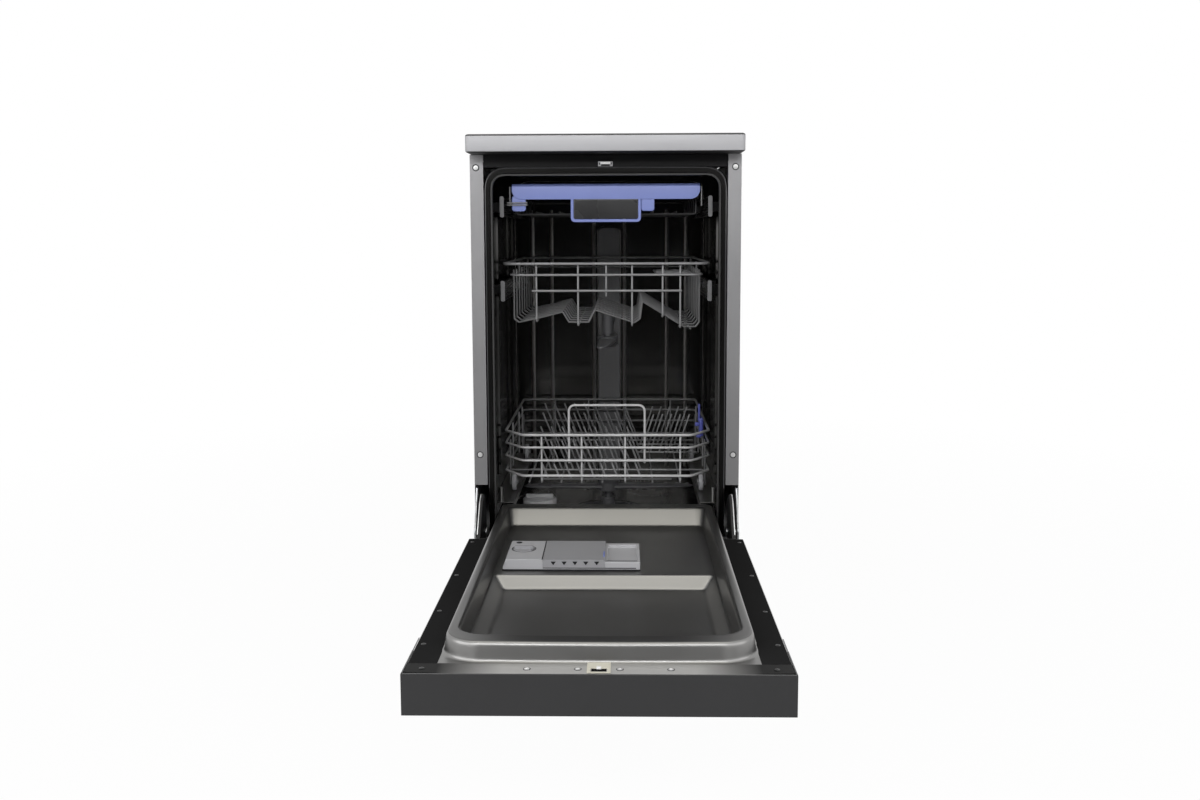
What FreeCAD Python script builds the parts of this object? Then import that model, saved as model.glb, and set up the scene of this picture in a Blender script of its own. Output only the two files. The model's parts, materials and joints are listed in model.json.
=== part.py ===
import FreeCAD, Part
import math
import os

os.makedirs("parts", exist_ok=True)
V = FreeCAD.Vector

# A free-standing slimline dishwasher with its door folded down. Millimetres, +Z up, the front faces -Y,
# and the origin is on the floor under the middle of the worktop.

# Cabinet
cabinet_width = 446.0
overall_depth = 600.0
overall_height = 850.0
worktop_overhang = 1.0
worktop_thick = 30.0
worktop_corner = 6.0
front_setback = 48.0
rear_setback = 4.0
rear_recess = 30.0
sheet = 1.0
panel_flange = 22.0
panel_lift = 12.0
toe_depth = 50.0
back_bead = 5.0
crossbar_depth = 30.0
base_height = 48.0
base_wall = 3.0
kick_height = 86.0
kick_lift = 10.0
kick_thick = 2.0
kick_setback = 14.0
foot_radius = 17.0
foot_height = 7.0
foot_thread_radius = 5.0
foot_inset = 4.0
weight_half = 85.0
weight_depth = 54.0
weight_height = 44.0
motor_radius = 42.0
volute_radius = 52.0
inlet_x = 120.0
inlet_z = 36.0
inlet_radius = 13.2
drain_x = -120.0
drain_z = 40.0
drain_radius = 11.0
spigot_length = 28.0
fit_gap = 0.3
seat_gap = 0.05

# Hinge and lower door, measured from the pivot
pivot_height = 190.5
pivot_setback = 11.5
pin_radius = 5.0
arm_thick = 6.0
arm_inset = 12.0
arm_slot_rise = 77.5
bracket_thick = 3.0
toe_drop = 8.5
panel_drop = 40.5
apron_drop = 80.0
apron_depth = 30.0
spring_radius = 7.0
spring_length = 170.0

# Door
door_gap = 1.5
door_thick = 48.5
door_top_gap = 4.0
fascia_height = 111.5
fascia_wall = 2.5
fascia_lip = 72.0
fascia_overlap = 1.5
handle_width = 180.0
handle_height = 26.0
handle_depth = 25.0
display_width = 96.0
display_height = 30.0
button_radius = 7.0
button_travel = 1.2
button_pitch = 48.0
board_gap = 12.5
latch_width = 27.0
latch_height = 30.0
liner_screw_head = 3.2
panel_screw_head = 4.0

# Door liner pressing
liner_sheet = 1.2
liner_drop = 63.5
plateau_height = 22.5
plateau_draft = 3.0
plateau_top_corner = 42.0
plateau_low_corner = 20.0
rim_band = 14.0
rim_end_band = 26.0
shelf_drop = 26.0
shelf_ramp = 28.0
deep_drop = 17.0
deep_start = 318.0
deep_inset = 15.0

# Detergent dispenser
dispenser_left = -150.0
dispenser_start = 201.0
dispenser_height = 98.0
dispenser_rise = 17.0
dispenser_sink = 32.0
dispenser_wall = 6.0
rinse_block = 59.0
lid_width = 92.0
lid_thick = 3.3
lid_travel = 46.0
knob_radius = 16.0

# Wash tub
tub_side_gap = 24.0
tub_head_gap = 21.0
tub_rear_gap = 46.0
tub_wall = 1.2
tub_corner = 30.0
tub_rib = 4.0
mouth_lip = 8.0
seal_gap = 1.5
gasket_thick = 4.0
gasket_depth = 12.0
floor_sheet = 1.5
sill_clearance = 9.5
sill_end_angle = 18.0
sump_radius = 72.0
sump_depth = 62.0
sump_wall = 6.0
spindle_radius = 7.0
spindle_height = 44.0
filter_x = 40.0
filter_radius = 20.6
salt_x = -134.0
salt_y = 18.0
salt_radius = 33.0
duct_half = 25.0
duct_depth = 20.0
duct_height = 543.0
track_rise = 61.9
track_width = 35.6
guide_depth = 19.0
guide_length = 30.0

# Racks; a row's place is its share of the rack's length, from the front
wire = 2.0
rim_wire = 2.4
fine_wire = 1.6
weld_gap = 0.05
rack_front_gap = 62.0
rack_rear_gap = 32.0
lower_side_gap = 17.3
lower_front_inset = 33.5
lower_jog = 46.0
basket_lift = 34.0
lower_height = 84.0
handle_half = 66.0
handle_rise = 52.0
tine_start = -104.0
tine_pitch = 20.5
tine_count = 9
tine_slope = 0.4
tine_rows = ((0.035, 28.0), (0.22, 52.0), (0.44, 62.0), (0.71, 70.0), (0.92, 76.0))
spike_start = 64.0
spike_pitch = 17.5
spike_count = 5
spike_slope = 0.33
spike_height = 76.0
spike_row = 0.81
fold_row = 0.61
wheel_radius = 16.0
wheel_width = 8.0
wheel_axle = 3.0
wheel_front_y = -105.0
wheel_rear_y = 165.0
upper_drop = 159.0
upper_inset = 3.5
upper_depth = 102.0
upper_front_gap = 45.0
tray_drop = 47.0
tray_inset = 20.5
tray_depth = 28.0
tray_front_gap = 47.0
tray_plate_half = 59.0
tray_plate_height = 38.0
rail_height = 33.0
rail_depth = 6.0
rail_wall = 1.5
rail_length = 424.0
feed_drop = 128.0
feed_radius = 8.0
spray_reach = 165.0
upper_spray_reach = 150.0
upper_spray_turn = 93.0
spray_width = 34.0
spray_hub = 20.0
cup_shelf_reach = 68.0

# Flats on a wire, and on a round piece that is out of sight
wire_sides = 6
rim_sides = 8
hidden_sides = 12
bend_steps = 3

# Planes and levels that follow from these
front_y = -overall_depth / 2
back_y = overall_depth / 2 - rear_setback
half = cabinet_width / 2
panel_half = half - sheet
base_half = panel_half - fit_gap
worktop_under = overall_height - worktop_thick
flange_y = front_y + front_setback
toe_y = flange_y + toe_depth
kick_y = flange_y + kick_setback
deck = panel_lift + base_wall
base_top = panel_lift + base_height
base_rear = back_y - rear_recess
weight_back = base_rear - base_wall - 1.0
weight_front = weight_back - weight_depth
pump_y = weight_front - volute_radius - 6.0
pivot_y = flange_y - pivot_setback
arm_slot_top = pivot_height + arm_slot_rise
toe_height = pivot_height - toe_drop
panel_bottom = pivot_height - panel_drop
apron_bottom = pivot_height - apron_drop
arm_x = panel_half - arm_inset

liner_y = flange_y - door_gap
door_front_y = liner_y - door_thick
fascia_y = door_front_y - 0.5
door_top = worktop_under - door_top_gap
fascia_bottom = door_top - fascia_height

tub_half = half - tub_side_gap
tub_inner = tub_half - tub_wall
tub_top = worktop_under - tub_head_gap
tub_front = flange_y + 2 * sheet
tub_back = back_y - tub_rear_gap
tub_rear = tub_back - tub_wall
mouth_half = tub_half - mouth_lip
mouth_top = tub_top - mouth_lip - sheet
apron_reach = math.hypot(liner_y - apron_depth - pivot_y, apron_drop)
floor_radius = apron_reach + sill_clearance
floor_top = pivot_height - floor_radius * math.sin(math.radians(sill_end_angle))
track_height = floor_top + track_rise
crossbar_y = flange_y + sheet + fit_gap
strike_z = (tub_top + worktop_under) / 2 - 5.0

apron_half = mouth_half - gasket_thick - seal_gap
plateau_half = apron_half - plateau_draft
plateau_low = pivot_height - liner_drop
plateau_high = mouth_top - gasket_thick - plateau_draft - 5.0
plateau_y = liner_y + plateau_height
shelf_y = plateau_y - shelf_drop
deep_y = shelf_y - deep_drop
dispenser_low = plateau_low + dispenser_start
dispenser_high = dispenser_low + dispenser_height
dispenser_right = dispenser_left + rinse_block + lid_width + lid_travel + dispenser_wall

rack_front = flange_y + rack_front_gap
rack_back = tub_back - rack_rear_gap
rack_length = rack_back - rack_front
rail_outer = tub_inner - guide_depth - fit_gap
lower_half = tub_inner - lower_side_gap
lower_front_half = lower_half - lower_front_inset
lower_floor = track_height + basket_lift
lower_rim = lower_floor + lower_height
wheel_z = track_height + wheel_radius + fit_gap
wheel_x = tub_inner - track_width + 3.8
upper_half = rail_outer - upper_inset
upper_rim = tub_top - upper_drop
upper_front = flange_y + upper_front_gap
upper_rail_mid = upper_rim - 46.0
tray_half = rail_outer - tray_inset
tray_rim = tub_top - tray_drop
tray_front = flange_y + tray_front_gap
tray_rail_mid = tray_rim - 16.0
feed_z = upper_rim - feed_drop
duct_y = tub_rear - fit_gap


def save(name, solids):
    shape = solids[0] if len(solids) == 1 else Part.makeCompound(solids)
    shape.exportStep("parts/" + name + ".step")


def block(x0, x1, y0, y1, z0, z1):
    return Part.makeBox(x1 - x0, y1 - y0, z1 - z0, V(x0, y0, z0))


def fuse(solids):
    return solids[0].multiFuse(solids[1:]).removeSplitter()


def cylinder(radius, start, end):
    run = end - start
    return Part.makeCylinder(radius, run.Length, start, run)


def upright(radius, x, y, z0, z1):
    return cylinder(radius, V(x, y, z0), V(x, y, z1))


def ring(centre, heading, radius, sides):
    """A regular polygon in a circle square to heading, with a flat below."""
    along = V(heading).normalize()
    across = along.cross(V(0, 0, 1))
    if across.Length < 0.01:
        across = V(1, 0, 0)
    across.normalize()
    over = across.cross(along)
    points = []
    for i in range(sides):
        angle = 2 * math.pi * (i + 0.5) / sides
        points.append(centre + across * (radius * math.cos(angle)) + over * (radius * math.sin(angle)))
    return Part.makePolygon(points + points[:1])


def rod(radius, start, end, sides=wire_sides):
    return Part.Face(ring(start, end - start, radius, sides)).extrude(end - start)


def bent_path(points, bend, closed):
    """The points of a path whose corners are rounded by short chords of one bend radius."""
    count = len(points)
    path = []
    for i, point in enumerate(points):
        if not closed and i in (0, count - 1):
            path.append(point)
            continue
        inward = (points[i - 1] - point).normalize()
        outward = (points[(i + 1) % count] - point).normalize()
        half_angle = inward.getAngle(outward) / 2
        reach = bend / math.tan(half_angle)
        centre = point + (inward + outward).normalize() * (bend / math.sin(half_angle))
        middle = centre + (point - centre).normalize() * bend
        arc = Part.Arc(point + inward * reach, middle, point + outward * reach)
        path += arc.toShape().discretize(Number=bend_steps + 1)
    if closed:
        start = (path[-1] + path[0]) * 0.5
        path = [start] + path + [start]
    return path


def wire_along(points, radius, sides=wire_sides, bend=0.0, closed=False):
    """A wire swept along straight runs that meet in mitres."""
    path = bent_path(points, bend, closed) if bend else points
    section = ring(path[0], path[1] - path[0], radius, sides)
    return Part.makePolygon(path).makePipeShell([section], True, False, 1)


def mirror_x(shape):
    return shape.mirror(V(0, 0, 0), V(1, 0, 0))


def both_sides(shape):
    return [mirror_x(shape), shape]


def open_door(shape):
    """Swing a door piece, drawn upright, down to its open place."""
    turned = shape.copy()
    turned.rotate(V(0, pivot_y, pivot_height), V(1, 0, 0), 90)
    return turned


def prism(points, direction):
    return Part.Face(Part.makePolygon(points + points[:1])).extrude(direction)


def side_plate(points, x0, x1):
    """A plate drawn by its (y, z) outline, between two x planes."""
    return prism([V(x0, y, z) for y, z in points], V(x1 - x0, 0, 0))


def edges_along(shape, axis):
    return [e for e in shape.Edges if abs(e.tangentAt(e.FirstParameter).dot(axis)) > 0.99]


def rounded_outline(y, x_half, z0, z1, r_low, r_high):
    """An upright rounded rectangle in a y plane, centred on x = 0, with its own radii below and above."""
    corners = [
        (x_half - r_high, z1 - r_high, r_high),
        (r_high - x_half, z1 - r_high, r_high),
        (r_low - x_half, z0 + r_low, r_low),
        (x_half - r_low, z0 + r_low, r_low),
    ]
    arcs = []
    for quarter, (x, z, r) in enumerate(corners):
        turns = [math.radians(90 * quarter + t) for t in (0, 45, 90)]
        arcs.append([V(x + r * math.cos(t), y, z + r * math.sin(t)) for t in turns])
    edges = []
    for i, arc in enumerate(arcs):
        edges.append(Part.Arc(*arc).toShape())
        edges.append(Part.LineSegment(arc[2], arcs[(i + 1) % 4][0]).toShape())
    return Part.Wire(edges)


def frustum(first, second):
    return Part.makeLoft([first, second], True, True)


def screw(centre, direction, head_radius, length):
    """A screw whose head sits at centre and whose shank runs along direction."""
    head_rise = head_radius * 0.25
    head = rod(head_radius, centre - direction * head_rise, centre, rim_sides)
    shank = rod(head_radius * 0.5, centre - direction * (head_rise / 2), centre + direction * length)
    return head.fuse(shank).removeSplitter()


def screw_hole(centre, direction, head_radius):
    return rod(head_radius * 0.5 + fit_gap, centre - direction * 5, centre + direction * 5)


def cabinet_shell():
    """Worktop, folded side and back panels, and the bar that ties the sides above the door."""
    top_half = half + worktop_overhang
    top = block(-top_half, top_half, front_y, -front_y, worktop_under, overall_height)
    save("worktop", [top.makeFillet(worktop_corner, edges_along(top, V(0, 0, 1)))])

    lip_x = half - panel_flange
    skin = block(panel_half, half, flange_y, back_y, panel_lift, worktop_under)
    lip = block(lip_x, half, flange_y, flange_y + sheet, arm_slot_top, worktop_under)
    rear_lip = block(lip_x, half, back_y - sheet, back_y, base_top, worktop_under)
    toe = block(0, half + sheet, flange_y - sheet, toe_y, 0, toe_height)
    side = fuse([skin, lip, rear_lip]).cut(toe)
    screw_x = half - panel_flange / 2 + 1
    inward = V(0, 1, 0)
    screws = []
    for z in (worktop_under - tub_head_gap, arm_slot_top + 52):
        side = side.cut(screw_hole(V(screw_x, flange_y, z), inward, panel_screw_head))
        screws += both_sides(screw(V(screw_x, flange_y, z), inward, panel_screw_head, 9.0))
    save("side_panel_right", [side])
    save("side_panel_left", [mirror_x(side)])
    save("panel_screws", screws)

    inner = lip_x - fit_gap
    bead_half = inner - 40
    bead_count = 4
    back = block(-inner, inner, back_y - sheet, back_y, base_top, worktop_under - sheet)
    bead_pitch = (worktop_under - base_top) / (bead_count + 2)
    for i in range(bead_count):
        z = base_top + bead_pitch * (i + 1.9)
        bead = rod(back_bead, V(-bead_half, back_y, z), V(bead_half, back_y, z))
        groove = rod(back_bead - sheet, V(-bead_half, back_y, z), V(bead_half, back_y, z))
        outside = block(-half, half, back_y, back_y + back_bead, z - back_bead, z + back_bead)
        back = back.fuse(bead.cut(outside)).cut(groove)
    save("back_panel", [back.removeSplitter()])

    bar_low = tub_top + fit_gap
    bar_high = worktop_under - fit_gap
    bar_wall = 1.5
    bar_back = crossbar_y + crossbar_depth
    bar = block(-inner, inner, crossbar_y, bar_back, bar_low, bar_high)
    channel = block(-half, half, crossbar_y + bar_wall, bar_back + 1, bar_low + bar_wall, worktop_under)
    save("front_crossbar", [bar.cut(channel)])

    plate = block(-12, 12, crossbar_y - 1.2, crossbar_y - seat_gap, strike_z - 4, strike_z + 4)
    loop = block(-8, 8, crossbar_y - 9, crossbar_y - 1, strike_z - 3, strike_z + 3)
    eye = block(-6, 6, crossbar_y - 7, crossbar_y - 1.2, strike_z - 4, strike_z + 4)
    save("door_strike", [fuse([plate, loop.cut(eye)])])


def base_group():
    """Base tray with front posts and rear skids, kick plate, levelling feet and counterweight."""
    tray = block(-base_half, base_half, toe_y, base_rear, panel_lift, base_top)
    inside = base_half - base_wall
    tray = tray.cut(block(-inside, inside, toe_y + base_wall, base_rear - base_wall, deck, base_top + 1))
    foot_x = base_half - foot_radius - foot_inset
    foot_y = kick_y + foot_radius
    foot_socket = 44.0
    post = block(foot_x - 11, base_half, kick_y, toe_y + base_wall, panel_lift, kick_lift + kick_height)
    post = post.cut(upright(foot_thread_radius + fit_gap, foot_x, foot_y, 0, foot_socket))
    skid_x = base_half - 24
    skid_y = base_rear - 24
    skid = rod(14.0, V(skid_x, skid_y, 0), V(skid_x, skid_y, deck), rim_sides)
    tray = fuse([tray] + both_sides(post) + both_sides(skid))
    for x, z, radius in ((inlet_x, inlet_z, inlet_radius), (drain_x, drain_z, drain_radius)):
        tray = tray.cut(cylinder(radius + 0.5, V(x, base_rear - 2 * base_wall, z), V(x, back_y, z)))
    save("base_tray", [tray])

    kick_back = kick_y - seat_gap
    kick_front = kick_back - kick_thick
    kick_fold = kick_lift + kick_height + seat_gap
    kick_top = kick_fold + kick_thick
    face = block(-base_half, base_half, kick_front, kick_back, kick_lift, kick_top)
    fold = block(-base_half, base_half, kick_front, kick_y + 8, kick_fold, kick_top)
    save("kick_plate", [fuse([face, fold])])

    for name, side in (("foot_front_left", -1), ("foot_front_right", 1)):
        x = side * foot_x
        pad = Part.makeCone(foot_radius, foot_radius - 5, foot_height, V(x, foot_y, 0))
        thread = upright(foot_thread_radius, x, foot_y, foot_height - 1, foot_socket - 4)
        nut = rod(8.0, V(x, foot_y, foot_height - 1), V(x, foot_y, panel_lift - fit_gap))
        save(name, [fuse([pad, nut, thread])])

    weight_top = deck + weight_height
    weight = block(-weight_half, weight_half, weight_front, weight_back, deck + seat_gap, weight_top)
    save("counterweight", [weight.makeChamfer(3, edges_along(weight, V(1, 0, 0)))])


def hinge_group():
    """Fixed brackets with their pins, the moving arms, and the balance springs."""
    plate_x = base_half - bracket_thick
    lobe = cylinder(18.0, V(plate_x, pivot_y, pivot_height), V(base_half, pivot_y, pivot_height))
    crest = arm_slot_top - 6
    outline = [
        (pivot_y, pivot_height - 14),
        (toe_y + 3, pivot_height - 8),
        (toe_y + 3, base_top + seat_gap),
        (toe_y + 45, base_top + seat_gap),
        (toe_y + 45, pivot_height + 40),
        (toe_y + 10, crest),
        (flange_y + 4, crest),
        (pivot_y - 10, pivot_height + 14),
    ]
    plate = side_plate(outline, plate_x, base_half)
    pin_start = arm_x - arm_thick - 1
    tip = V(pin_start, pivot_y, pivot_height)
    pin = cylinder(pin_radius, tip, V(base_half, pivot_y, pivot_height))
    head = rod(pin_radius + 2.5, tip - V(2, 0, 0), tip, hidden_sides)
    save("hinge_brackets", both_sides(fuse([plate, lobe, pin, head])))

    under_liner = liner_y - pivot_y - liner_sheet - 0.2
    arm_outline = [
        (-14, -8),
        (-apron_depth, 20),
        (-apron_depth, arm_slot_rise + 72),
        (under_liner, arm_slot_rise + 72),
        (under_liner, arm_slot_rise - 2),
        (under_liner + 3, arm_slot_rise - 6),
        (58, 34),
        (67, 14),
        (62, -4),
        (10, -12),
    ]
    points = [(pivot_y + a, pivot_height + b) for a, b in arm_outline]
    boss = cylinder(14.0, V(arm_x - arm_thick, pivot_y, pivot_height), V(arm_x, pivot_y, pivot_height))
    bore = cylinder(pin_radius + 0.2, V(0, pivot_y, pivot_height), V(half, pivot_y, pivot_height))
    arm = fuse([side_plate(points, arm_x - arm_thick, arm_x), boss]).cut(bore)
    save("hinge_arms", [open_door(s) for s in both_sides(arm)])

    spring_z = base_top + 30
    spring_x = panel_half - 2 * spring_radius
    spring_y = toe_y + 62
    hook = 10.0
    lug_half = 4.0
    start = V(spring_x, spring_y, spring_z)
    stop = V(spring_x, spring_y + spring_length, spring_z)
    coil = rod(spring_radius, start, stop, hidden_sides)
    hooks = rod(fine_wire, start - V(0, hook, 0), stop + V(0, hook, 0))
    lugs = []
    for y in (start.y - hook - lug_half, stop.y + hook - 2):
        lugs.append(block(spring_x - lug_half, base_half, y, y + 6, base_top + seat_gap, spring_z + 9))
    save("door_springs", both_sides(fuse([coil, hooks] + lugs)))


def tub_group():
    """Tub shell with stiffening ribs, gasket, floor with its curved sill, basket tracks, guides and duct."""
    low = floor_top - 4

    def sleeve(y0, y1, x_half, z0, z1, corner):
        return frustum(*[rounded_outline(y, x_half, z0, z1, 2.0, corner) for y in (y0, y1)])

    outer = sleeve(tub_front, tub_back, tub_half, low, tub_top, tub_corner)
    hollow = sleeve(tub_front - 1, tub_rear, tub_inner, low - 9, tub_top - tub_wall, tub_corner - tub_wall)
    lip = sleeve(tub_front, tub_front + tub_wall, tub_half - 0.5, low, tub_top - 0.5, tub_corner)
    mouth = sleeve(tub_front - 1, tub_front + 9, mouth_half, low - 60, mouth_top, tub_corner - 3)
    shell = outer.cut(hollow).fuse(lip.cut(mouth))
    rib_low = floor_top + 30
    rib_high = tub_top - 60
    ribs = []
    for x in (duct_half + 7, tub_inner - 76.8, tub_inner - 36.8):
        ribs += both_sides(rod(tub_rib, V(x, tub_rear, rib_low), V(x, tub_rear, rib_high)))
    for y in (-105.0, 75.0, 165.0):
        ribs += both_sides(rod(tub_rib, V(tub_inner, y, track_height + 30), V(tub_inner, y, rib_high)))
    keep = block(-tub_half, tub_half, tub_front, tub_back, 0, tub_top)
    shell = shell.multiFuse([rib.common(keep) for rib in ribs])
    shell = shell.cut(block(-half, half, tub_front - 1, toe_y - 3, 0, toe_height))
    save("tub", [shell.removeSplitter()])

    gasket_low = toe_height + 2
    gasket_half = mouth_half - 0.1
    gasket_top = mouth_top - 0.1
    corner = tub_corner - 3.1
    inner_half = gasket_half - gasket_thick
    inner_top = gasket_top - gasket_thick
    gasket_end = tub_front + gasket_depth
    band = sleeve(tub_front + fit_gap, gasket_end, gasket_half, low - 40, gasket_top, corner)
    opening = sleeve(tub_front, gasket_end + 1, inner_half, low - 60, inner_top, corner - gasket_thick)
    save("tub_gasket", [band.cut(opening).cut(block(-half, half, flange_y, back_y, 0, gasket_low))])

    floor_half = tub_inner - fit_gap
    floor_end = duct_y
    sill = [math.radians(t) for t in (-82, -(82 + sill_end_angle) / 2, -sill_end_angle)]

    def sill_arc(radius):
        hub = V(-floor_half, pivot_y, pivot_height)
        return [hub + V(0, radius * math.cos(t), radius * math.sin(t)) for t in sill]

    upper = sill_arc(floor_radius)
    under = sill_arc(floor_radius + floor_sheet)
    corners = [
        upper[2],
        V(-floor_half, floor_end, floor_top),
        V(-floor_half, floor_end, floor_top - floor_sheet),
        V(-floor_half, under[2].y, floor_top - floor_sheet),
        under[2],
    ]
    outline = [Part.Arc(*upper).toShape()]
    outline += [Part.LineSegment(a, b).toShape() for a, b in zip(corners, corners[1:])]
    outline.append(Part.Arc(under[2], under[1], under[0]).toShape())
    outline.append(Part.LineSegment(under[0], upper[0]).toShape())
    floor = Part.Face(Part.Wire(outline)).extrude(V(2 * floor_half, 0, 0))
    floor = floor.cut(upright(sump_radius, 0, 0, 0, tub_top))
    floor = floor.cut(upright(salt_radius - 4, salt_x, salt_y, 0, tub_top))
    save("tub_floor", [floor])

    wall_x = tub_inner - 0.2
    edge_x = tub_inner - track_width
    y0 = toe_y + 8
    y1 = tub_back - 20
    shelf = block(edge_x, wall_x, y0, y1, track_height - 2, track_height)
    web = block(wall_x - 2, wall_x, y0, y1, track_height - 30, track_height)
    lip = block(edge_x, edge_x + 2, y0, y1, track_height - 12, track_height)
    stop_low = V(tub_inner - 12, y0 + 5, track_height - 1)
    post = rod(4.0, stop_low, stop_low + V(0, 0, 27), rim_sides)
    save("lower_basket_tracks", both_sides(fuse([shelf, web, lip, post])))

    guides = []
    for mid in (tray_rail_mid, upper_rail_mid):
        for y in (-175.0, 5.0):
            guide = block(rail_outer + fit_gap, wall_x, y, y + guide_length, mid - 8, mid + 8)
            guides += both_sides(guide)
    save("rail_guides", guides)

    foot = floor_top + 0.1
    duct = frustum(
        rounded_outline(duct_y, duct_half, foot, foot + duct_height, 1.0, 12.0),
        rounded_outline(duct_y - duct_depth, duct_half - 3, foot, foot + duct_height - 4, 1.0, 10.0),
    )
    elbow = block(-12, 12, sump_radius - 10, duct_y - duct_depth + 2, foot, foot + 16)
    port_y = duct_y - duct_depth
    port = cylinder(11.0, V(0, port_y - 10, feed_z), V(0, port_y + 4, feed_z))
    save("feed_duct", [fuse([duct, elbow, port])])


def wash_group():
    """Sump, filters, lower spray arm, and the pumps, softener and valve below the tub."""
    bowl_radius = sump_radius - sump_wall
    sump_low = floor_top - sump_depth
    cup = upright(sump_radius - fit_gap, 0, 0, sump_low, floor_top - 1)
    bowl = upright(bowl_radius, 0, 0, sump_low + 4, floor_top)
    legs = [rod(14.0, V(x, -x / 2, deck + seat_gap), V(x, -x / 2, sump_low + 2)) for x in (-40.0, 40.0)]
    hub = upright(13.0, 0, 0, sump_low + 2, floor_top + 24)
    spindle = upright(spindle_radius, 0, 0, floor_top + 20, floor_top + spindle_height)
    save("sump", [fuse([fuse([cup] + legs).cut(bowl), hub, spindle])])

    plate_top = floor_top - 12
    collar_radius = filter_radius + 3
    plate = upright(bowl_radius - 0.5, 0, 0, plate_top - 2, plate_top)
    seat = upright(collar_radius + 1, filter_x, 0, plate_top - 6, plate_top)
    plate = fuse([plate, seat]).cut(upright(13.5, 0, 0, 0, floor_top))
    save("filter_plate", [plate.cut(upright(filter_radius + fit_gap, filter_x, 0, 0, floor_top))])

    collar_low = plate_top + fit_gap
    can = upright(filter_radius, filter_x, 0, sump_low + 6, collar_low + 3)
    collar = upright(collar_radius, filter_x, 0, collar_low, collar_low + 3)
    core = upright(filter_radius - 2, filter_x, 0, sump_low + 8, floor_top)
    grip = block(filter_x - 2, filter_x + 2, -filter_radius, filter_radius, collar_low, floor_top + 6)
    save("filter_cylinder", [fuse([fuse([can, collar]).cut(core), grip])])

    arm_z = floor_top + spindle_height + 2
    save("lower_spray_arm", [spray_arm(V(0, 0, arm_z), spray_reach)])

    volute_x = -45.0
    shaft_z = deck + volute_radius + 10
    motor = cylinder(motor_radius, V(volute_x + 10, pump_y, shaft_z), V(volute_x + 125, pump_y, shaft_z))
    volute = cylinder(volute_radius, V(volute_x - 17, pump_y, shaft_z), V(volute_x + 17, pump_y, shaft_z))
    cradle = block(20, 60, pump_y - 26, pump_y + 26, deck + seat_gap, shaft_z - 30)
    pipe_z = floor_top - 48
    pipe_y = math.sqrt(sump_radius**2 - volute_x**2) + fit_gap
    neck = rod(12.0, V(volute_x, pipe_y + 9, pipe_z), V(volute_x, pump_y - 5, pipe_z), hidden_sides)
    save("wash_pump", [fuse([motor, volute, cradle, neck])])

    drain_y = pump_y - 20
    body_x = drain_x - 30
    body = rod(24.0, V(body_x, drain_y, deck + seat_gap), V(body_x, drain_y, deck + 62), hidden_sides)
    boss = rod(18.0, V(drain_x - 20, drain_y, drain_z), V(drain_x + 12, drain_y, drain_z), hidden_sides)
    spigot = hose_spigot(drain_radius, drain_x, drain_y, drain_z)
    save("drain_pump", [fuse([body, boss] + spigot)])

    box_top = floor_top - floor_sheet - fit_gap
    tank = block(salt_x - 42, salt_x + 62, salt_y - 148, salt_y + 40, deck + seat_gap, box_top)
    tank = tank.makeFillet(10, edges_along(tank, V(0, 0, 1)))
    tank = tank.cut(upright(sump_radius + 4, 0, 0, 0, floor_top))
    neck_top = floor_top + 8
    neck = upright(salt_radius - 4.5, salt_x, salt_y, box_top - 5, neck_top)
    throat = upright(salt_radius - 9, salt_x, salt_y, box_top - 60, neck_top + 1)
    save("water_softener", [tank.fuse(neck).cut(throat).removeSplitter()])

    cap_low = neck_top + fit_gap
    cap = upright(salt_radius, salt_x, salt_y, floor_top + 0.4, cap_low + 9)
    cap = cap.cut(upright(salt_radius - 4.2, salt_x, salt_y, floor_top, cap_low))
    grip_half = salt_radius - 6
    ridge = block(salt_x - grip_half, salt_x + grip_half, salt_y - 4, salt_y + 4, cap_low + 8, cap_low + 17)
    ridge = ridge.makeFillet(2.5, edges_along(ridge, V(0, 0, 1)))
    save("salt_cap", [fuse([cap, ridge])])

    coil_back = base_rear - base_wall - 1
    coil_box = block(inlet_x - 22, inlet_x + 22, coil_back - 54, coil_back, deck + seat_gap, deck + 60)
    thread = hose_spigot(inlet_radius, inlet_x, coil_back - 1, inlet_z)
    save("inlet_valve", [fuse([coil_box] + thread)])


def hose_spigot(radius, x, start, z):
    """A pipe through the base's rear wall, with a thicker end outside it for a hose."""
    pipe = cylinder(radius - 1, V(x, start, z), V(x, base_rear + 1, z))
    end = cylinder(radius, V(x, base_rear, z), V(x, base_rear + spigot_length, z))
    return [pipe, end]


def spray_arm(centre, reach):
    """A two-bladed spray arm that tapers from its hub, with a socket below for its spindle."""
    hub = cylinder(spray_hub, centre - V(0, 0, 8), centre + V(0, 0, 8))
    cap = Part.makeCone(spray_hub, spray_hub - 8, 5, centre + V(0, 0, 8))
    edge = spray_width / 2
    root = ((-edge, -5), (edge, -5), (edge - 7, 6), (7 - edge, 6))
    tip = ((-9, -3), (9, -3), (6, 3), (-6, 3))
    blades = []
    for side in (-1, 1):
        rings = []
        for x, outline in ((side * 8, root), (side * reach, tip)):
            points = [centre + V(x, y, z) for y, z in outline]
            rings.append(Part.makePolygon(points + points[:1]))
        blades.append(Part.makeLoft(rings, True, True))
    socket = cylinder(spindle_radius + fit_gap, centre - V(0, 0, 9), centre + V(0, 0, 3))
    return fuse([hub, cap] + blades).cut(socket)


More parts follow.
